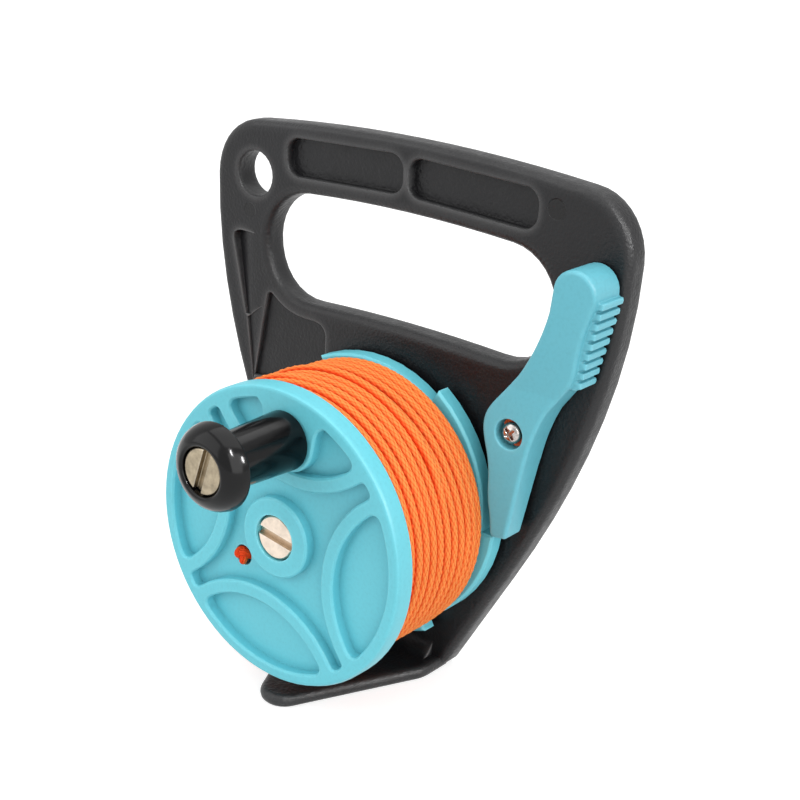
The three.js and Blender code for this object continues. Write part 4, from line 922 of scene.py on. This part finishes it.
def camera():
    data = bpy.data.cameras.new("camera")
    data.lens = LENS
    data.sensor_width = SENSOR
    data.sensor_fit = "HORIZONTAL"
    data.clip_start = CAMERA_NEAR
    obj = bpy.data.objects.new("camera", data)
    right = Vector(CAMERA_RIGHT).normalized()
    up = Vector(CAMERA_UP)
    up = (up - right * up.dot(right)).normalized()
    back = right.cross(up)
    turn = Matrix((right, up, back)).transposed()
    obj.matrix_world = Matrix.Translation(CAMERA_AT) @ turn.to_4x4()
    bpy.context.scene.collection.objects.link(obj)
    bpy.context.scene.camera = obj


camera()
bpy.context.scene.view_settings.view_transform = "Standard"
surroundings()
floor()
lamps()

# Materials
matte = plastic(
    "frame_plastic", BLACK, 0.4, grain=1000, depth=0.2, variation=0.28, edge_light=0.5, specular=0.31,
    corner=1.2, reach=1.0, ridge=3, tint=0.13, uneven=0.11, marks=PIN_MARKS)
teal = plastic(
    "teal_plastic", TEAL, 0.42, grain=900, depth=0.008, variation=0.02, edge_light=0.45, specular=0.4,
    corner=0.5, reach=0.5, ridge=1.2, tint=0.09)
lever_teal = plastic(
    "teal_plastic_lever", LEVER_TEAL, 0.42, grain=900, depth=0.008, variation=0.02, edge_light=0.45,
    specular=0.4, reach=0.5, ridge=1.2, tint=0.09)
gloss = plastic("grip_plastic", GLOSS_BLACK, 0.15, grain=300, depth=0.002, edge_light=0.6, specular=0.23)
bush = plastic("bush_plastic", BUSH, 0.45, grain=900, depth=0.01)
white = plastic("washer_plastic", WHITE, 0.4, grain=900, depth=0.01)
metal = turned_metal("nickel_steel", NICKEL)
bolt_metal = turned_metal("nickel_steel_bolt", NICKEL, 0.3, 0.8, slot=BOLT_FRONT, slot_shade=0.5)
# The crank screw's nickel is painted darker as shade.
crank_metal = turned_metal("nickel_steel_crank", SHADED_NICKEL, 0.32, 0.62, slot=CRANK_FRONT, slot_shade=0.35)
screw_metal = turned_metal(
    "nickel_steel_small", SCREW_NICKEL, 0.17, 0.4, slot=CROSS_FROM, slot_shade=0.95, shade_share=CROSS_SHADE_SHARE)
brass = turned_metal("insert_brass", BRASS)
line = braid("line_fibre", ORANGE, ORANGE_PAINTED_SHADE)
# The knot: the line's cord in darker colours, as painted shade of the tie hole.
knot = braid("line_fibre_knot", KNOT_ORANGE_SHADED, KNOT_PAINTED_SHADE)

# Each solid's material, its slot in the record, and how its edges and shape are refined.
bolt_slot = wide_slot(AXLE, BOLT_FRONT, BOLT_TURN)
crank_slot = wide_slot(CRANK, CRANK_FRONT, CRANK_TURN)
LOOKS = {
    "frame": (matte, "frame_plastic", {"bevel": 0.6}),
    "front_flange": (teal, "teal_plastic", {"bevel": 0.2}),
    "ratchet_drum": (teal, "teal_plastic", {"bevel": 0.2}),
    "axle_bolt": (bolt_metal, "nickel_steel", {"bevel": 0.15, "shape": bolt_slot}),
    "axle_head_washer": (metal, "nickel_steel", {"bevel": 0.1}),
    "axle_sleeve": (metal, "nickel_steel", {"bevel": 0.1}),
    "axle_thrust_washer": (white, "washer_plastic", {"bevel": 0.1}),
    "axle_nut": (metal, "nickel_steel", {"bevel": 0.15}),
    "axle_nut_washer": (metal, "nickel_steel", {"bevel": 0.1}),
    "crank_grip": (gloss, "grip_plastic", {"bevel": 0.15}),
    "crank_sleeve": (metal, "nickel_steel", {"bevel": 0.1}),
    "crank_screw": (crank_metal, "nickel_steel", {"bevel": 0.3, "shape": crank_slot}),
    "crank_nut": (metal, "nickel_steel", {"bevel": 0.15}),
    "stop_lever": (lever_teal, "teal_plastic", {"worn": LEVER_WEAR, "bars": thumb_bars()}),
    "lever_bush": (bush, "bush_plastic", {"bevel": 0.1, "shape": two_ears}),
    "lever_screw": (screw_metal, "nickel_steel", {"bevel": 0.1, "shape": screw_head}),
    "lever_insert": (brass, "insert_brass", {"bevel": 0.1}),
    "lever_spring": (metal, "nickel_steel", {}),
}
BODY_OF = {n: b for b, nodes in frame["record"]["behaviour"]["bodies"].items() for n in nodes}
for node, (material, slot, how) in LOOKS.items():
    refined(node, material, slot, **how)
line_pieces(line)
knot_piece(knot)
